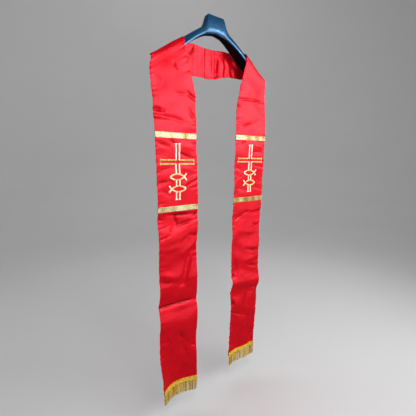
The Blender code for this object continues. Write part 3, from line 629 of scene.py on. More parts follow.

# %% [markdown]
# The big folds above move the cloth by several millimetres and are in the solid too. On top
# lie the small creases that satin keeps from being folded and worn. Each is a short line with
# a bell-shaped trough or ridge across it that dies out at its ends, placed where the cloth
# shows one, in millimetres. Both faces of the cloth carry them, as real cloth does.

# %% Small creases
# Columns: |x| and z of one end, |x| and z of the other, height in tenths of a mm, half width
CREASES = {
    "left": (
        (212, -600, 78, -612, -22, 28), (212, -706, 78, -688, 16, 30),
        (174, -582, 77, -586, -20, 7), (155, -588, 148, -615, -18, 5), (146, -615, 76, -602, -16, 5),
        (90, -593, 77, -580, -15, 4), (209, -588, 198, -595, -10, 3), (193, -619, 176, -613, -10, 3),
        (165, -623, 175, -643, -10, 4), (175, -643, 211, -654, -12, 4), (103, -650, 76, -657, -16, 6),
        (119, -656, 142, -679, -8, 4), (142, -679, 199, -691, 10, 10), (76, -670, 129, -707, 16, 9),
        (80, -687, 103, -724, -18, 10), (103, -724, 130, -805, -18, 10), (90, -733, 110, -789, 10, 8),
        (211, -760, 149, -779, 18, 12), (211, -783, 155, -795, -15, 9), (90, -825, 140, -863, 12, 9),
        (213, -872, 140, -872, -28, 6), (145, -872, 78, -876, -28, 6), (213, -883, 78, -887, 12, 10),
        (212, -935, 189, -938, 8, 5), (190, -978, 180, -994, -12, 7),
        (144, -974, 114, -1015, -16, 8), (97, -1036, 78, -1040, -12, 4), (210, -987, 180, -994, -10, 5),
        (125, -1031, 121, -1062, -12, 9), (158, -1016, 181, -1045, 10, 12),
        (78, -1133, 118, -1139, -8, 5), (143, -1116, 136, -1136, -8, 4),
        (189, -1100, 200, -1124, 10, 5), (132, -1084, 90, -1107, 8, 9), (208, -376, 170, -384, -10, 6),
        (170, -365, 150, -381, -12, 6), (139, -401, 84, -421, -16, 6), (130, -380, 90, -387, 8, 9),
        (208, -453, 157, -441, -8, 8), (133, -442, 77, -456, 8, 8), (77, -469, 125, -492, 16, 6),
        (77, -480, 115, -498, -12, 5), (208, -488, 172, -482, -16, 6), (201, -506, 170, -523, -8, 8),
        (103, -506, 77, -502, -10, 5), (210, -546, 182, -543, -7, 5), (153, -159, 144, -172, -9, 4),
        (107, -234, 85, -247, -18, 6), (214, -284, 186, -287, -14, 6), (209, -202, 186, -218, -5, 10),
        (146, -238, 114, -238, -5, 5), (214, -303, 188, -304, -9, 7), (188, -304, 155, -306, -9, 7),
        (155, -306, 114, -317, -7, 7), (102, -281, 87, -305, -12, 6)),
    "right": (
        (83, -226, 157, -220, -9, 4), (157, -220, 208, -222, -9, 4), (80, -244, 90, -250, -12, 4),
        (116, -311, 162, -296, -7, 10), (81, -316, 89, -320, -8, 3), (107, -367, 127, -357, -10, 5),
        (166, -370, 211, -378, 9, 7), (163, -392, 207, -394, -10, 6), (77, -444, 110, -456, -10, 6),
        (165, -438, 206, -445, -10, 5), (79, -492, 116, -481, 8, 6), (84, -513, 126, -525, -13, 7),
        (165, -514, 206, -523, -10, 6), (77, -541, 114, -534, 7, 6), (81, -631, 121, -610, -13, 4),
        (121, -610, 149, -600, -13, 4), (149, -600, 206, -593, 16, 8), (172, -646, 204, -643, 10, 5),
        (177, -660, 203, -657, -10, 5), (133, -674, 202, -681, 14, 10), (145, -744, 204, -757, -16, 8),
        (142, -782, 205, -781, 16, 11), (148, -804, 205, -822, -13, 6), (85, -763, 101, -849, -12, 8),
        (79, -829, 87, -842, -15, 5), (79, -864, 211, -892, 18, 17), (118, -839, 123, -854, -8, 4),
        (186, -906, 205, -905, -15, 6), (80, -885, 106, -878, -8, 5), (162, -908, 124, -985, -12, 9),
        (191, -916, 156, -981, 10, 10), (80, -931, 94, -964, -15, 7), (81, -979, 143, -1011, -14, 4),
        (78, -948, 91, -938, -10, 6), (156, -988, 141, -1070, 8, 8), (73, -1044, 94, -1041, -6, 6),
        (70, -1098, 111, -1119, -8, 5), (181, -1101, 192, -1101, -10, 4),
        (91, -1077, 162, -1113, -5, 10)),
}
# The strip behind the neck, with signed x and the same columns
BACK_CREASES = (
    (32, -107, 28, -154, -20, 6), (37, -96, 84, -147, 12, 9), (76, -83, 127, -140, -15, 12),
    (55, -84, 107, -143, 7, 9), (-58, -80, -77, -114, -12, 8), (-28, -99, -44, -163, -8, 10),
    (10, -82, 10, -166, -13, 2))


CREASE_UNIT, CREASE_SLIM = 0.00021, 0.95
# Only creases no wider than the first number, in mm, get painted shade in the satin's colour; it is full at
# a trough as deep as the second number, in metres.
SHADED_CREASE_WIDE, CREASE_SHADE_FULL = 9, 0.0046


def crease_sum(rows, x, z, soft_end=0.35):
    """Sum of bells: each height times exp(-(distance from its line / half width) squared).

    Past half of its half width beyond an end, a crease is gone; soft_end of the run fades.
    """
    total = np.zeros_like(x)
    for row in rows:
        xa, za, xb, zb = (np.array(row[:4], dtype=float) / 1000)
        tall, wide = row[4] * CREASE_UNIT, row[5] / 1000 * CREASE_SLIM
        run = math.hypot(xb - xa, zb - za)
        along = ((x - xa) * (xb - xa) + (z - za) * (zb - za)) / run ** 2
        held = np.clip(along, 0.0, 1.0)
        away = np.hypot(x - xa - held * (xb - xa), z - za - held * (zb - za))
        strength = 0.45 + 0.55 * np.sin(np.pi * np.clip(held / (1 - soft_end / 2), 0.0, 1.0))
        total += tall * strength * np.exp(-(away / wide) ** 2)
    return total


print("creases:", {side: len(CREASES[side]) for side in SIDES})

# %% Cloth surface
def arm_clearance(x, z):
    """Depth at which the cloth's middle lies on the arm's squarish oval.

    Near the arm's tip the distance is drawn in by a parabola, so the cloth leaves it softly.
    """
    straight = STRAIGHT_TOP - ARM_SLOPE * (np.abs(x) - STRAIGHT_X)
    crown = np.where(np.abs(x) > STRAIGHT_X, straight, hanger_at(x, 1))
    crown = crown + SEAT * np.sqrt(1 + ARM_SLOPE ** 2)
    past = np.clip((np.abs(x) - HANGER[-1, 0]) / TIP_BLEND, -1.0, 1.0)
    x = np.minimum(np.abs(x), HANGER[-1, 0]) - TIP_BLEND / 4 * (1 - np.abs(past)) ** 2
    under, half, square = hanger_at(x, 2), hanger_at(x, 3) + SEAT, hanger_at(x, 4) * TAUT
    share = np.clip((z - under) / (crown - under), 0.0, 1.0)
    return half * (1 - share ** (2 / square)) ** (square / 2)


def crown_at(x):
    """Height of the cloth's middle over the straight part of the arm's ridge."""
    return STRAIGHT_TOP - ARM_SLOPE * (x - STRAIGHT_X) + SEAT * math.sqrt(1 + ARM_SLOPE ** 2)


def section_rows(side):
    """Edges of each section from hem to seam: inner |x|, z, outer |x|, z, slip share, face."""
    table = PANEL[side][::-1]
    steady = HEM_Z[side] + HEM_STEADY
    count = int(round((FRONT_TOP - steady) / ROW_PITCH))
    z = np.concatenate([[HEM_Z[side]], np.linspace(steady, FRONT_TOP, count + 1)])
    inner, outer = smooth(z, table[:, 0], table[:, 1]), smooth(z, table[:, 0], table[:, 2])
    rows = list(np.stack([inner, z, outer, z, 0 * z, 0 * z - 1], axis=1))
    rows += [(*row, -1) for row in SHOULDER]
    for drop in FOLD_DROPS:
        share = drop / FOLD_DROPS[0]
        outer = CORNER_OUT + CORNER_FLARE * np.sqrt(share)
        rows.append((CORNER_IN, crown_at(CORNER_IN) - drop, outer, crown_at(outer) - drop, 1 + share, -1))
    for drop, retreat in BACK_DROPS:
        outer = CORNER_OUT - retreat
        rows.append((CORNER_IN, crown_at(CORNER_IN) - drop, outer, crown_at(outer) - drop, 1.0, 1))
    rows += [(*row, 1) for row in BACK[side]]
    end = WAY[side] * SEAM_X[side]
    rows.append((end, SEAM_Z[side][0], end, SEAM_Z[side][1], 0.0, 1))
    return np.array(rows)


def cloth_sections(side, t):
    """Points of the cloth's middle on every section at the shares t of its width."""
    rows = section_rows(side)
    t = t[None, :]
    follow = rows[:, 4:5]
    slip = WAY[side] * SIDE_SLIP * follow
    reach = rows[:, 0:1] * (1 - t) + rows[:, 2:3] * t + slip
    z = rows[:, 1:2] * (1 - t) + rows[:, 3:4] * t - slip * ARM_SLOPE
    clear = arm_clearance(reach, z)
    front = -clear + (PANEL_PLANE + clear) * (1 - ease(z, FLAT_TOP, ARM_START))
    curl = smooth(np.broadcast_to(t, z.shape).ravel(), CURL[side][:, 0], CURL[side][:, 1])
    steady = HEM_Z[side] + HEM_STEADY
    curled = 1 - ease(np.maximum(z, steady), steady, CURL_START)
    front = front + (curl.reshape(z.shape) - PANEL_PLANE) * curled
    big = sum(tall * np.exp(-(line_distance(reach, z, *ends) / wide) ** 2)
              for *ends, tall, wide in FOLDS[side])
    front = front - big * (1 - ease(z, FLAT_END - FOLD_FADE, FLAT_END)) * (1 - curled)
    turn = BACK_PLANE * (1 - ease(reach, *BACK_TURN))
    behind = np.minimum((clear ** TURN_ROUND + turn ** TURN_ROUND) ** (1 / TURN_ROUND), BACK_PLANE)
    behind = behind + LAP[side] * (1 - ease(reach, *LAP_FADE))
    ripple = np.sin(2 * np.pi * (reach - WAVE_FROM) / WAVE_LONG) * ease(reach, *WAVE_RISE)
    ripple = ripple * (1 - ease(reach, *WAVE_FADE)) * (WAVE_TOP + (1 - WAVE_TOP) * t)
    behind = behind + BACK_WAVES[side] * ripple
    y = np.where(rows[:, 5:6] < 0, front, behind)
    return np.stack([WAY[side] * reach, y, z], axis=2), rows[:, 5]


def line_distance(x, z, xa, za, xb, zb):
    """Distance of every point from one straight piece of line."""
    along = ((x - xa) * (xb - xa) + (z - za) * (zb - za)) / ((xb - xa) ** 2 + (zb - za) ** 2)
    along = np.clip(along, 0.0, 1.0)
    return np.hypot(x - xa - along * (xb - xa), z - za - along * (zb - za))


def through(points, knots, at):
    """Cubic curve through rows of points, with the slope at each row from its neighbours."""
    slope = np.gradient(points, knots, axis=0)
    k = np.clip(np.searchsorted(knots, at) - 1, 0, len(knots) - 2)
    step = (knots[k + 1] - knots[k])[:, None, None]
    u = ((at - knots[k]) / (knots[k + 1] - knots[k]))[:, None, None]
    return ((1 + 2 * u) * (1 - u) ** 2 * points[k] + u * (1 - u) ** 2 * step * slope[k]
            + u * u * (3 - 2 * u) * points[k + 1] - u * u * (1 - u) * step * slope[k + 1])


# %% [markdown]
# The edges of a stole are turned in and pressed, so each edge is a little fatter than the
# middle, ends in a soft round, and puckers every few millimetres where its hand stitches
# pull. The puckers sit at uneven places along the edge, from a seeded list, so a rerun makes
# the same cloth. The embroidery draws the satin up too, which shows as small waves beside it.

# %% Cloth pieces
ROWS_FINE, EDGE_SHARES = 690, (0.0, 0.0022, 0.006, 0.012, 0.022)
COLUMNS_INSIDE = 50
PUCKER_PITCH, PUCKER_LONG, PUCKER_REACH = 0.0125, 0.0036, 0.0095
TOP_DEEPER, TOP_FROM, TOP_FULL = 0.5, -0.420, -0.340
CROSS_PLACE = {"left": (-0.1440, -0.4270), "right": (0.1440, -0.4205)}
PULL_WIDE, PULL_DEEP = 0.0027, 0.0011
PULL_UP, PULL_DOWN, PULL_ASIDE = (0.045, 0.056), (-0.112, -0.100), (0.048, 0.058)
EDGE_FULL, EDGE_WIDE = 0.00030, 0.008


def unit(vectors):
    """Vectors at length one."""
    return vectors / np.maximum(np.linalg.norm(vectors, axis=-1, keepdims=True), 1e-12)


def surface_normals(points, side):
    """Unit normals of a grid, toward the viewer on the front panels."""
    across, along = np.gradient(points, axis=1), np.gradient(points, axis=0)
    return unit(WAY[side] * np.cross(across, along))


def width_shares():
    """Shares of the width: crowded at the two edges, even between them."""
    edge = np.array(EDGE_SHARES)
    inside = np.linspace(0.034, 0.966, COLUMNS_INSIDE)
    return np.concatenate([edge, inside, 1 - edge[::-1]])


def edge_puckers(length, seed):
    """Depth of the puckers at every length along an edge, as a sum of narrow bells."""
    chance = np.random.default_rng(seed)
    count = int(length[-1] / PUCKER_PITCH)
    at = (np.arange(count) + chance.uniform(-0.38, 0.38, count) + 0.5) * PUCKER_PITCH
    deep = chance.uniform(0.00090, 0.00240, count) * chance.choice([1.0, 1.0, 1.0, 0.30], count)
    wide = PUCKER_LONG * chance.uniform(0.75, 1.35, count)
    away = (length[:, None] - at[None, :]) / wide[None, :]
    return -(deep[None, :] * np.exp(-away ** 2)).sum(axis=1)


def slow_waves(side, x, z):
    """Uneven hang of the whole panel: three long low waves that cross at odd angles."""
    phase = 0.7 if side == "left" else 2.9
    return 0.00075 * (np.sin(41 * z + 17 * x + phase) + 0.8 * np.sin(67 * z - 38 * x + 2.3 * phase)
                      + 0.6 * np.sin(103 * z + 61 * x + 4.1 * phase))


def stitch_pull(side, reach, z):
    """Dimples between the cross's double lines, where the stitches draw the satin in.

    Each bar has a bell-shaped trough times a wave along it, and fades where the bar ends.
    """
    across, up = reach - abs(CROSS_PLACE[side][0]), z - CROSS_PLACE[side][1]
    upright = np.exp(-(across / PULL_WIDE) ** 2) * ease(up, *PULL_DOWN) * (1 - ease(up, *PULL_UP))
    level = np.exp(-(up / PULL_WIDE) ** 2) * (1 - ease(np.abs(across), *PULL_ASIDE))
    wave_up = 0.55 + 0.45 * np.sin(2 * np.pi * up / 0.0068)
    wave_across = 0.55 + 0.45 * np.sin(2 * np.pi * across / 0.0082)
    return -PULL_DEEP * (upright * wave_up + 0.6 * level * wave_across)


def cloth_half(side):
    """Finished grids of one half: middle, normal and half thickness, with lengths for the weave."""
    t = width_shares()
    coarse, face = cloth_sections(side, t)
    steps = np.linalg.norm(np.diff(coarse, axis=0), axis=2).mean(axis=1)
    knots = np.concatenate([[0.0], np.cumsum(steps)])
    at = np.linspace(0.0, knots[-1], ROWS_FINE)
    middle = through(coarse, knots, at)
    fold = knots[np.argmax(face > 0)]
    normal = surface_normals(middle, side)
    reach, z = np.abs(middle[:, :, 0]), middle[:, :, 2]
    in_front = 1 - ease(at, fold - 0.020, fold - 0.004)[:, None]
    behind = ease(at, fold + 0.020, fold + 0.045)[:, None]
    deeper = 1 + TOP_DEEPER * ease(z, TOP_FROM, TOP_FULL)
    small = crease_sum(CREASES[side], reach, z) * deeper + stitch_pull(side, reach, z)
    # Painted shade: the narrow creases on the front are darkened in the satin's colour, more the deeper
    # they are.
    narrow = [row for row in CREASES[side] if row[5] <= SHADED_CREASE_WIDE]
    deep = np.clip(-crease_sum(narrow, reach, z) / CREASE_SHADE_FULL, 0.0, 1.0) ** 1.5 * in_front
    relief = (small + slow_waves(side, reach, z) * ease(z, HEM_Z[side], HEM_Z[side] + 0.05)) * in_front
    relief = relief - crease_sum(BACK_CREASES, middle[:, :, 0], z) * behind
    width = np.linalg.norm(np.diff(middle, axis=1), axis=2).sum(axis=1)[:, None]
    seed = 11 if side == "left" else 23
    open_fold = 1 - np.exp(-((at - fold) / 0.018) ** 2)[:, None]
    for number, share in enumerate((t, 1 - t)):
        pull = edge_puckers(at, seed + number)[:, None]
        relief = relief + pull * np.exp(-share[None, :] * width / PUCKER_REACH) * open_fold
    middle = middle + normal * relief[:, :, None]
    normal = surface_normals(middle, side)
    inward = np.minimum(t, 1 - t)[None, :] * width
    rounding = np.sqrt(1 - (1 - np.clip(inward / 0.0012, 0.0, 1.0)) ** 2)
    fuller = EDGE_FULL * (1 - ease(inward, EDGE_WIDE * 0.7, EDGE_WIDE)) * open_fold
    half = (CLOTH / 2 + fuller) * (0.12 + 0.88 * rounding)
    uv = np.stack([np.broadcast_to(t[None, :] * 0.135, z.shape),
                   np.broadcast_to(at[:, None], z.shape)], axis=-1)
    return {"middle": middle, "normal": normal, "half": half, "uv": uv, "deep": deep, "t": t, "at": at,
            "z": z[:, 0], "front_rows": int(np.searchsorted(at, fold - 0.12)), "width": width}


def cloth_piece(side, half):
    """Closed wall of one half: its two faces lie half a thickness either side of the middle."""
    lift = half["normal"] * half["half"][:, :, None]
    rows, columns = half["z"].shape[0], len(half["t"])
    points = np.concatenate([(half["middle"] + lift).reshape(-1, 3),
                             (half["middle"] - lift).reshape(-1, 3)])
    uv = np.concatenate([half["uv"].reshape(-1, 2)] * 2)
    # The deep mark is the painted crease shade, on the front face only.
    piece = make_piece("satin_" + side, points, [wall_faces(rows, columns, side == "left")], uv,
                       {"deep": np.concatenate([half["deep"].ravel(), 0 * half["deep"].ravel()])})
    piece.data.materials.append(SATIN)
    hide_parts("stole_" + side)
    return piece


HALF = {side: cloth_half(side) for side in SIDES}
CLOTH_PIECE = {side: cloth_piece(side, HALF[side]) for side in SIDES}
for side in SIDES:
    print(side, "cloth faces:", len(CLOTH_PIECE[side].data.polygons),
          "length from hem to seam:", round(float(HALF[side]["at"][-1]), 3))

# %% [markdown]
# Everything sewn to a panel is placed in the panel's own terms: how far across, and at what
# height. This helper looks up the cloth's front face there, creases and all, so trim follows
# the cloth and never floats or sinks, from whichever side it is seen.

# %% Places on a panel
def on_panel(side, share, height, rise):
    """Points at shares of the width and heights z, lifted off the front face by rise.

    The four nearest points of the cloth's grid are mixed by their distances.
    """
    half = HALF[side]
    rows = half["front_rows"]
    share, height = np.broadcast_arrays(np.asarray(share, float), np.asarray(height, float))
    i = np.interp(height, half["z"][:rows], np.arange(rows))
    j = np.interp(share, half["t"], np.arange(len(half["t"])))
    i0 = np.clip(i.astype(int), 0, rows - 2)
    j0 = np.clip(j.astype(int), 0, len(half["t"]) - 2)
    u, v = (i - i0)[..., None], (j - j0)[..., None]

    def mixed(grid):
        return ((grid[i0, j0] * (1 - v) + grid[i0, j0 + 1] * v) * (1 - u)
                + (grid[i0 + 1, j0] * (1 - v) + grid[i0 + 1, j0 + 1] * v) * u)

    point, normal = mixed(half["middle"]), unit(mixed(half["normal"]))
    thick = mixed(half["half"][:, :, None])
    return point + normal * (np.maximum(thick, CLOTH / 2) + np.asarray(rise)[..., None]), normal


def share_at(side, x, height):
    """Share of the panel's width at a signed x and a height."""
    table = PANEL[side][::-1]
    inner, outer = smooth(height, table[:, 0], table[:, 1]), smooth(height, table[:, 0], table[:, 2])
    return (WAY[side] * x - inner) / (outer - inner)


print("front rows:", {side: HALF[side]["front_rows"] for side in SIDES})

# %% [markdown]
# Two gold galloons cross each panel, above and below the embroidery. A galloon is a flat
# woven ribbon of metallic yarn: it glitters in cream where a float of yarn catches the light
# and goes dull and brown where it doesn't. Its selvedges are slightly raised cords. It is a
# thin wall whose front is the cloth's own surface lifted, with a low relief of woven knots.

# %% Galloons
BAND_TALL, BAND_THICK = 0.0161, 0.0008
BAND_TOPS = {"left": (-0.3443, -0.5554), "right": (-0.3375, -0.5486)}
BAND_CELLS = (150, 26)
# Columns: share of the width from the inner edge, half width, how far a patch is painted dull and brown as
# painted shade where the yarn catches no light
PAINTED_DIM_PATCHES = {
    "left": {"upper": ((0.28, 0.07, 0.75), (0.62, 0.05, 0.30), (0.90, 0.05, 0.25)),
             "lower": ((0.05, 0.06, 0.55), (0.30, 0.09, 0.35), (0.62, 0.06, 0.45), (0.90, 0.07, 0.50))},
    "right": {"upper": ((0.42, 0.13, 0.95), (0.70, 0.09, 0.80), (0.92, 0.06, 0.70)),
              "lower": ((0.10, 0.10, 1.00), (0.40, 0.12, 1.20), (0.66, 0.10, 1.10), (0.90, 0.08, 0.90))},
}


def galloon_piece(side, name, top):
    """Wall along the panel: rounded selvedges, a flat ground and knots of woven relief.

    The relief is a product of two sine waves across and along, bent by a third, so the
    knots sit in offset rows and no two look quite alike.
    """
    across = np.linspace(0.0, 1.0, BAND_CELLS[0] + 1)[None, :]
    up = np.linspace(0.0, 1.0, BAND_CELLS[1] + 1)[:, None]
    height = top - BAND_TALL * (1 - up) + 0 * across
    run = across * 0.135
    bend = 0.0016 * np.sin(2 * np.pi * run / 0.031 + (1.3 if side == "left" else 4.0))
    knots = np.sin(2 * np.pi * (run + bend) / 0.0085) * np.sin(2 * np.pi * (up * BAND_TALL + bend) / 0.0070)
    flat = np.minimum(up, 1 - up) * BAND_TALL
    selvedge = np.exp(-((flat - 0.0011) / 0.0007) ** 2)
    inside = ease(flat, 0.0015, 0.0032)
    edge = np.sqrt(np.clip(flat / 0.0006, 0.0, 1.0))
    sides = np.sqrt(np.clip(np.minimum(across, 1 - across) * 0.135 / 0.0006, 0.0, 1.0))
    rise = GAP + BAND_THICK * (0.25 + 0.45 * edge * sides) + 0.00028 * selvedge + 0.00016 * knots * inside
    front, _ = on_panel(side, across + 0 * up, height, rise)
    back, _ = on_panel(side, across + 0 * up, height, GAP + 0 * rise)
    rows, columns = rise.shape
    uv = np.stack([run + 0 * up, up * BAND_TALL + 0 * run + (0.2 if "upper" in name else 0.5)], axis=-1)
    place = "upper" if "upper" in name else "lower"
    # Painted shade: listed patches are darkened toward brown where the yarn catches no light.
    painted_dim = sum(much * np.exp(-((across - at) / wide) ** 2) for at, wide, much in PAINTED_DIM_PATCHES[side][place])
    piece = make_piece(name, np.concatenate([front.reshape(-1, 3), back.reshape(-1, 3)]),
                       [wall_faces(rows, columns, side == "left")],
                       np.concatenate([uv.reshape(-1, 2)] * 2),
                       {"painted_dim": np.tile((painted_dim + 0 * up).ravel(), 2)})
    piece.data.materials.append(GALLOON)
    return piece


TRIM = {side: [] for side in SIDES}
for side in SIDES:
    for place, top in zip(("upper", "lower"), BAND_TOPS[side]):
        band = galloon_piece(side, "galloon_" + place + "_" + side, top)
        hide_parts("band_" + place + "_" + side)
        TRIM[side].append(band)
print("galloons:", sum(len(TRIM[side]) for side in SIDES))

# %% [markdown]
# The embroidery is a plain Latin cross drawn as a double line, with two fish laid over its
# stem, both old signs of the church. It is worked in satin stitch: metallic thread laid side
# by side across a cord, so each line is a rounded ridge with fine ribs across it. A profile
# carried along each line makes that ridge, and the line itself is built from straight runs,
# flared ends and arcs.

# %% Embroidery lines
STITCH_WIDE, STITCH_THICK = 0.0047, 0.0011
LINE_APART, ARM_LONG, CROSS_UP, CROSS_DOWN = 0.0113, 0.0565, 0.0530, 0.1110
SERIF_WIDE, SERIF_LONG = 0.0124, 0.0058
FISH_LONG, FISH_TALL, FISH_MID, FISH_TAIL = 0.0468, 0.0172, 0.0030, 0.0086
FISH_DROPS, FISH_LAP = (0.0430, 0.0780), 0.0006
STITCH_STEP = 0.0009


def stitch_line(corners, flare_start=False, flare_end=False):
    """Points each STITCH_STEP along straight runs, with the half width at every point."""
    corners = np.array(corners, dtype=float)
    length = np.concatenate([[0.0], np.cumsum(np.linalg.norm(np.diff(corners, axis=0), axis=1))])
    at = np.linspace(0.0, length[-1], max(int(length[-1] / STITCH_STEP), 4) + 1)
    line = np.stack([np.interp(at, length, corners[:, k]) for k in (0, 1)], axis=1)
    half = np.full(len(at), STITCH_WIDE / 2)
    widen = (SERIF_WIDE - STITCH_WIDE) / 2
    if flare_start:
        half = half + widen * np.clip(1 - at / SERIF_LONG, 0.0, 1.0) ** 1.6
    if flare_end:
        half = half + widen * np.clip(1 - (length[-1] - at) / SERIF_LONG, 0.0, 1.0) ** 1.6
    return line, half


def fish_lines(drop, nose):
    """Two arcs of one radius that meet at the nose and cross before the tail."""
    rise = FISH_TALL / 2
    radius = (FISH_LONG ** 2 / 4 + rise ** 2) / (2 * rise)
    u = np.linspace(-FISH_LONG / 2, FISH_LONG / 2 + FISH_TAIL, 60)
    v = np.sqrt(radius ** 2 - u ** 2) - (radius - rise)
    across = -nose * (u - FISH_MID) if nose > 0 else u - FISH_MID
    half = np.full(len(u), STITCH_WIDE / 2)
    half[-8:] *= np.linspace(1.0, 1.18, 8)
    return [(np.stack([across, sign * v - drop], axis=1), half) for sign in (1, -1)]


def cross_lines():
    """Every embroidered line, in metres about the middle of the crossing, by solid."""
    h = LINE_APART / 2
    one, two = FISH_DROPS
    rise = FISH_TALL / 2 - FISH_LAP
    stem = [stitch_line([(-ARM_LONG, -h), (-h, -h), (-h, -one + rise)], flare_start=True),
            stitch_line([(ARM_LONG, -h), (h, -h), (h, -one + rise)], flare_start=True)]
    for s in (-h, h):
        stem.append(stitch_line([(s, -one - rise), (s, -two + rise)]))
        stem.append(stitch_line([(s, -two - rise), (s, -CROSS_DOWN)], flare_end=True))
    stem += fish_lines(one, -1) + fish_lines(two, 1)
    return {"arm_a": [stitch_line([(-ARM_LONG, h), (-h, h), (-h, CROSS_UP)], True, True)],
            "arm_b": [stitch_line([(h, CROSS_UP), (h, h), (ARM_LONG, h)], True, True)],
            "stem": stem}


print("embroidered lines:", sum(len(lines) for lines in cross_lines().values()))

# %% Embroidery pieces
DOME = 12


def stitched_ridge(side, line, half, start):
    """Points, faces and uv of one ridge: a flattened dome carried along a line on the panel.

    Across the line the offset is the half width times the cosine, and the rise is the
    thread's height times the sine. The ends taper shut.
    """
    run = unit(np.gradient(line, axis=0))
    across = np.stack([-run[:, 1], run[:, 0]], axis=1)
    angle = np.linspace(0.0, 2 * np.pi, DOME, endpoint=False)[None, :]
    length = np.concatenate([[0.0], np.cumsum(np.linalg.norm(np.diff(line, axis=0), axis=1))])
    shut = np.sqrt(np.clip(np.minimum(length, length[-1] - length) / 0.0006, 0.02, 1.0))[:, None]
    ribs = 1 + 0.05 * np.sin(2 * np.pi * length / 0.0018)[:, None]
    side_way = half[:, None] * np.cos(angle) * (0.35 + 0.65 * shut)
    x, z = (line[:, k, None] + across[:, k, None] * side_way for k in (0, 1))
    rise = STITCH_THICK * (0.10 + 0.98 * np.maximum(np.sin(angle), 0.0) * ribs) * shut
    rise = np.where(np.sin(angle) < -0.01, 0.00005, rise) + GAP * 0.4
    place_x, place_z = CROSS_PLACE[side]
    points, _ = on_panel(side, share_at(side, x + place_x, z + place_z), z + place_z, rise)
    rows = len(line)
    flip = grid_faces(rows, DOME, start, around=True)
    caps = [start + np.arange(DOME)[None, ::-1], start + (rows - 1) * DOME + np.arange(DOME)[None, :]]
    uv = np.stack([np.broadcast_to(np.cos(angle) * half[:, None], (rows, DOME)),
                   np.broadcast_to(length[:, None], (rows, DOME))], axis=-1)
    # Painted sheen: how upright each stroke runs, which lightens upright strokes and darkens level ones in
    # the stitch colour.
    upright = np.repeat(np.abs(run[:, 1]), DOME)
    return points.reshape(-1, 3), flip, caps, uv.reshape(-1, 2), upright


def embroidery_piece(side, name, lines):
    """All ridges of one part of the embroidery, joined in one mesh."""
    points, quads, caps, uv, upright, start = [], [], [], [], [], 0
    for line, half in lines:
        p, q, c, w, v = stitched_ridge(side, line, half, start)
        points.append(p)
        quads.append(q)
        caps += c
        uv.append(w)
        upright.append(v)
        start += len(p)
    piece = make_piece(name, np.concatenate(points), [np.concatenate(quads)] + caps,
                       np.concatenate(uv), {"upright": np.concatenate(upright)})
    piece.data.materials.append(STITCH)
    return piece


for side in SIDES:
    for part, lines in cross_lines().items():
        ridge = embroidery_piece(side, "embroidery_" + part + "_" + side, lines)
        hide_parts("cross_" + part + "_" + side)
        TRIM[side].append(ridge)
print("trim pieces:", [piece.name for piece in TRIM["left"]])

# %% [markdown]
# A bullion fringe closes each hem. Its heading is a narrow braid of three twisted cords sewn
# on over the hem, and from it hang short cords, each a loop of gold thread twisted on itself.
# Both are the same form, a twisted cord: round a path, the radius swells and sinks once for
# each ply, and the swelling turns as it goes along. Strands crowd together here and part
# there, so a short table says where the fringe has parted.

# %% Fringe
HEADING_LAP, HEADING_TALL, HEADING_THICK = 0.0120, 0.0148, 0.0024
STRANDS, STRAND_LONG, STRAND_RADIUS = 50, 0.0455, 0.00122
# Columns: share of the width from the inner edge where the fringe parts, how far it parts
PARTINGS = {
    "left": ((0.19, 0.0016), (0.41, 0.0022), (0.30, 0.0009), (0.66, 0.0008), (0.84, 0.0007)),
    "right": ((0.20, 0.0010), (0.44, 0.0013), (0.55, 0.0010), (0.78, 0.0012), (0.90, 0.0008)),
}


def twisted_cords(paths, across, out, radius, pitch, plies, depth, around, turned):
    """Tubes round many paths at once, with a turning swell for each ply.

    paths is (cords, steps, 3), and across and out span each section. The radius is
    multiplied by 1 + depth cos(plies times (angle less the turn so far)).
    """
    cords, steps = paths.shape[:2]
    length = np.cumsum(np.linalg.norm(np.diff(paths, axis=1, prepend=paths[:, :1]), axis=2), axis=1)
    angle = np.linspace(0.0, 2 * np.pi, around, endpoint=False)[None, None, :]
    turn = 2 * np.pi * length[:, :, None] / pitch + turned[:, None, None]
    ply = np.cos(plies * (angle - turn))
    swell = radius[:, :, None] * (1 + depth * ply)
    ring = (paths[:, :, None, :] + across[:, :, None, :] * (swell * np.cos(angle))[..., None]
            + out[:, :, None, :] * (swell * np.sin(angle))[..., None])
    uv = np.stack([np.broadcast_to(angle / (2 * np.pi), turn.shape[:2] + (around,)),
                   np.broadcast_to(length[:, :, None], turn.shape[:2] + (around,))], axis=-1)
    one = grid_faces(steps, around, 0, around=True)
    shift = (np.arange(cords) * steps * around)[:, None, None]
    quads = (one[None] + shift).reshape(-1, 4)
    first = np.arange(around)[None, ::-1] + shift[:, :, 0]
    last = (steps - 1) * around + np.arange(around)[None, :] + shift[:, :, 0]
    return ring.reshape(-1, 3), quads, [first, last], uv.reshape(-1, 2), ply.ravel()


def heading_cords(side):
    """Three cords across the panel, one above the other, over the hem's front."""
    share = np.linspace(0.0, 1.0, 190)
    level = HEM_Z[side] + np.array([0.0098, 0.0048, 0.0000])
    paths, across, out = [], [], []
    for height in level:
        sag = np.maximum(height, HEM_Z[side] + 0.0006)
        line, normal = on_panel(side, share, np.full(len(share), sag), np.full(len(share), 0.0019))
        line[:, 2] += height - sag
        paths.append(line)
        out.append(normal)
        across.append(unit(np.cross(np.gradient(line, axis=0), normal)))
    return np.array(paths), np.array(across), np.array(out)


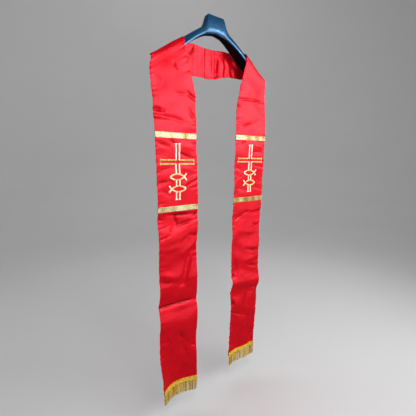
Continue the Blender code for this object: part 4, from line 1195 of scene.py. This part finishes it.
def strand_paths(side):
    """Hanging cords: even spacing, pushed away from the partings, with a little sway."""
    chance = np.random.default_rng(5 if side == "left" else 8)
    share = (np.arange(STRANDS) + 0.5 + chance.uniform(-0.18, 0.18, STRANDS)) / STRANDS
    down = np.linspace(0.0, 1.0, 17)[None, :]
    root, normal = on_panel(side, np.clip(share, 0.012, 0.988), np.full(STRANDS, HEM_Z[side] + 0.0015),
                            np.full(STRANDS, 0.0006))
    edge = unit(np.gradient(root, axis=0)) * WAY[side]
    push = np.zeros(STRANDS)
    for at, far in PARTINGS[side]:
        push += np.sign(share - at) * far * np.exp(-np.abs(share - at) / 0.05)
    length = STRAND_LONG * (1 + chance.uniform(-0.075, 0.020, STRANDS))
    deep = np.where(np.arange(STRANDS) % 2, -0.0007, 0.0009) + chance.uniform(-0.0004, 0.0004, STRANDS)
    swing = chance.normal(0.0, 0.0007, STRANDS)[:, None] * down ** 2
    side_way = push[:, None] * ease(down, 0.0, 0.7) + swing
    wave = 0.00035 * np.sin(2 * np.pi * (down * 1.4 + chance.uniform(0, 1, STRANDS)[:, None])) * down
    paths = root[:, None, :] + edge[:, None, :] * (side_way + wave)[..., None]
    paths = paths + normal[:, None, :] * (deep[:, None] * ease(down, 0.0, 0.4) + 0.0004)[..., None]
    paths[:, :, 2] = root[:, None, 2] - length[:, None] * down
    taper = 1 - 0.10 * down + 0.10 * np.exp(-((down - 0.93) / 0.06) ** 2)
    shut = np.sqrt(np.clip((1 - down) / 0.035, 0.05, 1.0))
    radius = STRAND_RADIUS * chance.uniform(0.90, 1.10, STRANDS)[:, None] * taper * shut
    flat = np.zeros_like(paths)
    flat[:, :, 0] = 1.0
    depth_way = np.zeros_like(paths)
    depth_way[:, :, 1] = 1.0
    return paths, flat, depth_way, radius, chance.uniform(0, 6.28, STRANDS)


def fringe_piece(side):
    """Heading and strands of one hem in one mesh."""
    paths, across, out = heading_cords(side)
    radius = np.full(paths.shape[:2], 0.00235)
    radius[:, [0, -1]] *= 0.25
    radius[:, [1, -2]] *= 0.8
    top = twisted_cords(paths, across, out, radius, 0.0115, 2, 0.15, 14, np.array([0.0, 1.1, 2.3]))
    hanging, flat, depth_way, strand_radius, turned = strand_paths(side)
    low = twisted_cords(hanging, flat, depth_way, strand_radius, 0.0105, 2, 0.22, 10, turned)
    shift = len(top[0])
    chance = np.random.default_rng(31 if side == "left" else 47)
    shade = np.repeat(chance.uniform(0.20, 1.05, STRANDS), len(low[0]) // STRANDS)
    # Painted shade and highlight: darker in the grooves between the plies, lighter on their crowns, on top
    # of a random tone for each strand.
    painted_ply_shade_and_tone = np.concatenate([0.62 + 0.30 * top[4], shade + 0.22 * low[4]])
    points = np.concatenate([top[0], low[0]])
    faces = [top[1], top[2][0], top[2][1], low[1][:, ::-1] + shift, low[2][0][:, ::-1] + shift,
             low[2][1][:, ::-1] + shift]
    piece = make_piece("bullion_fringe_" + side, points, faces, np.concatenate([top[3], low[3]]),
                       {"painted_ply_shade_and_tone": painted_ply_shade_and_tone})
    piece.data.materials.append(CORD)
    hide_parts("fringe_" + side)
    return piece


for side in SIDES:
    TRIM[side].append(fringe_piece(side))
print("fringe faces:", len(TRIM["left"][-1].data.polygons))
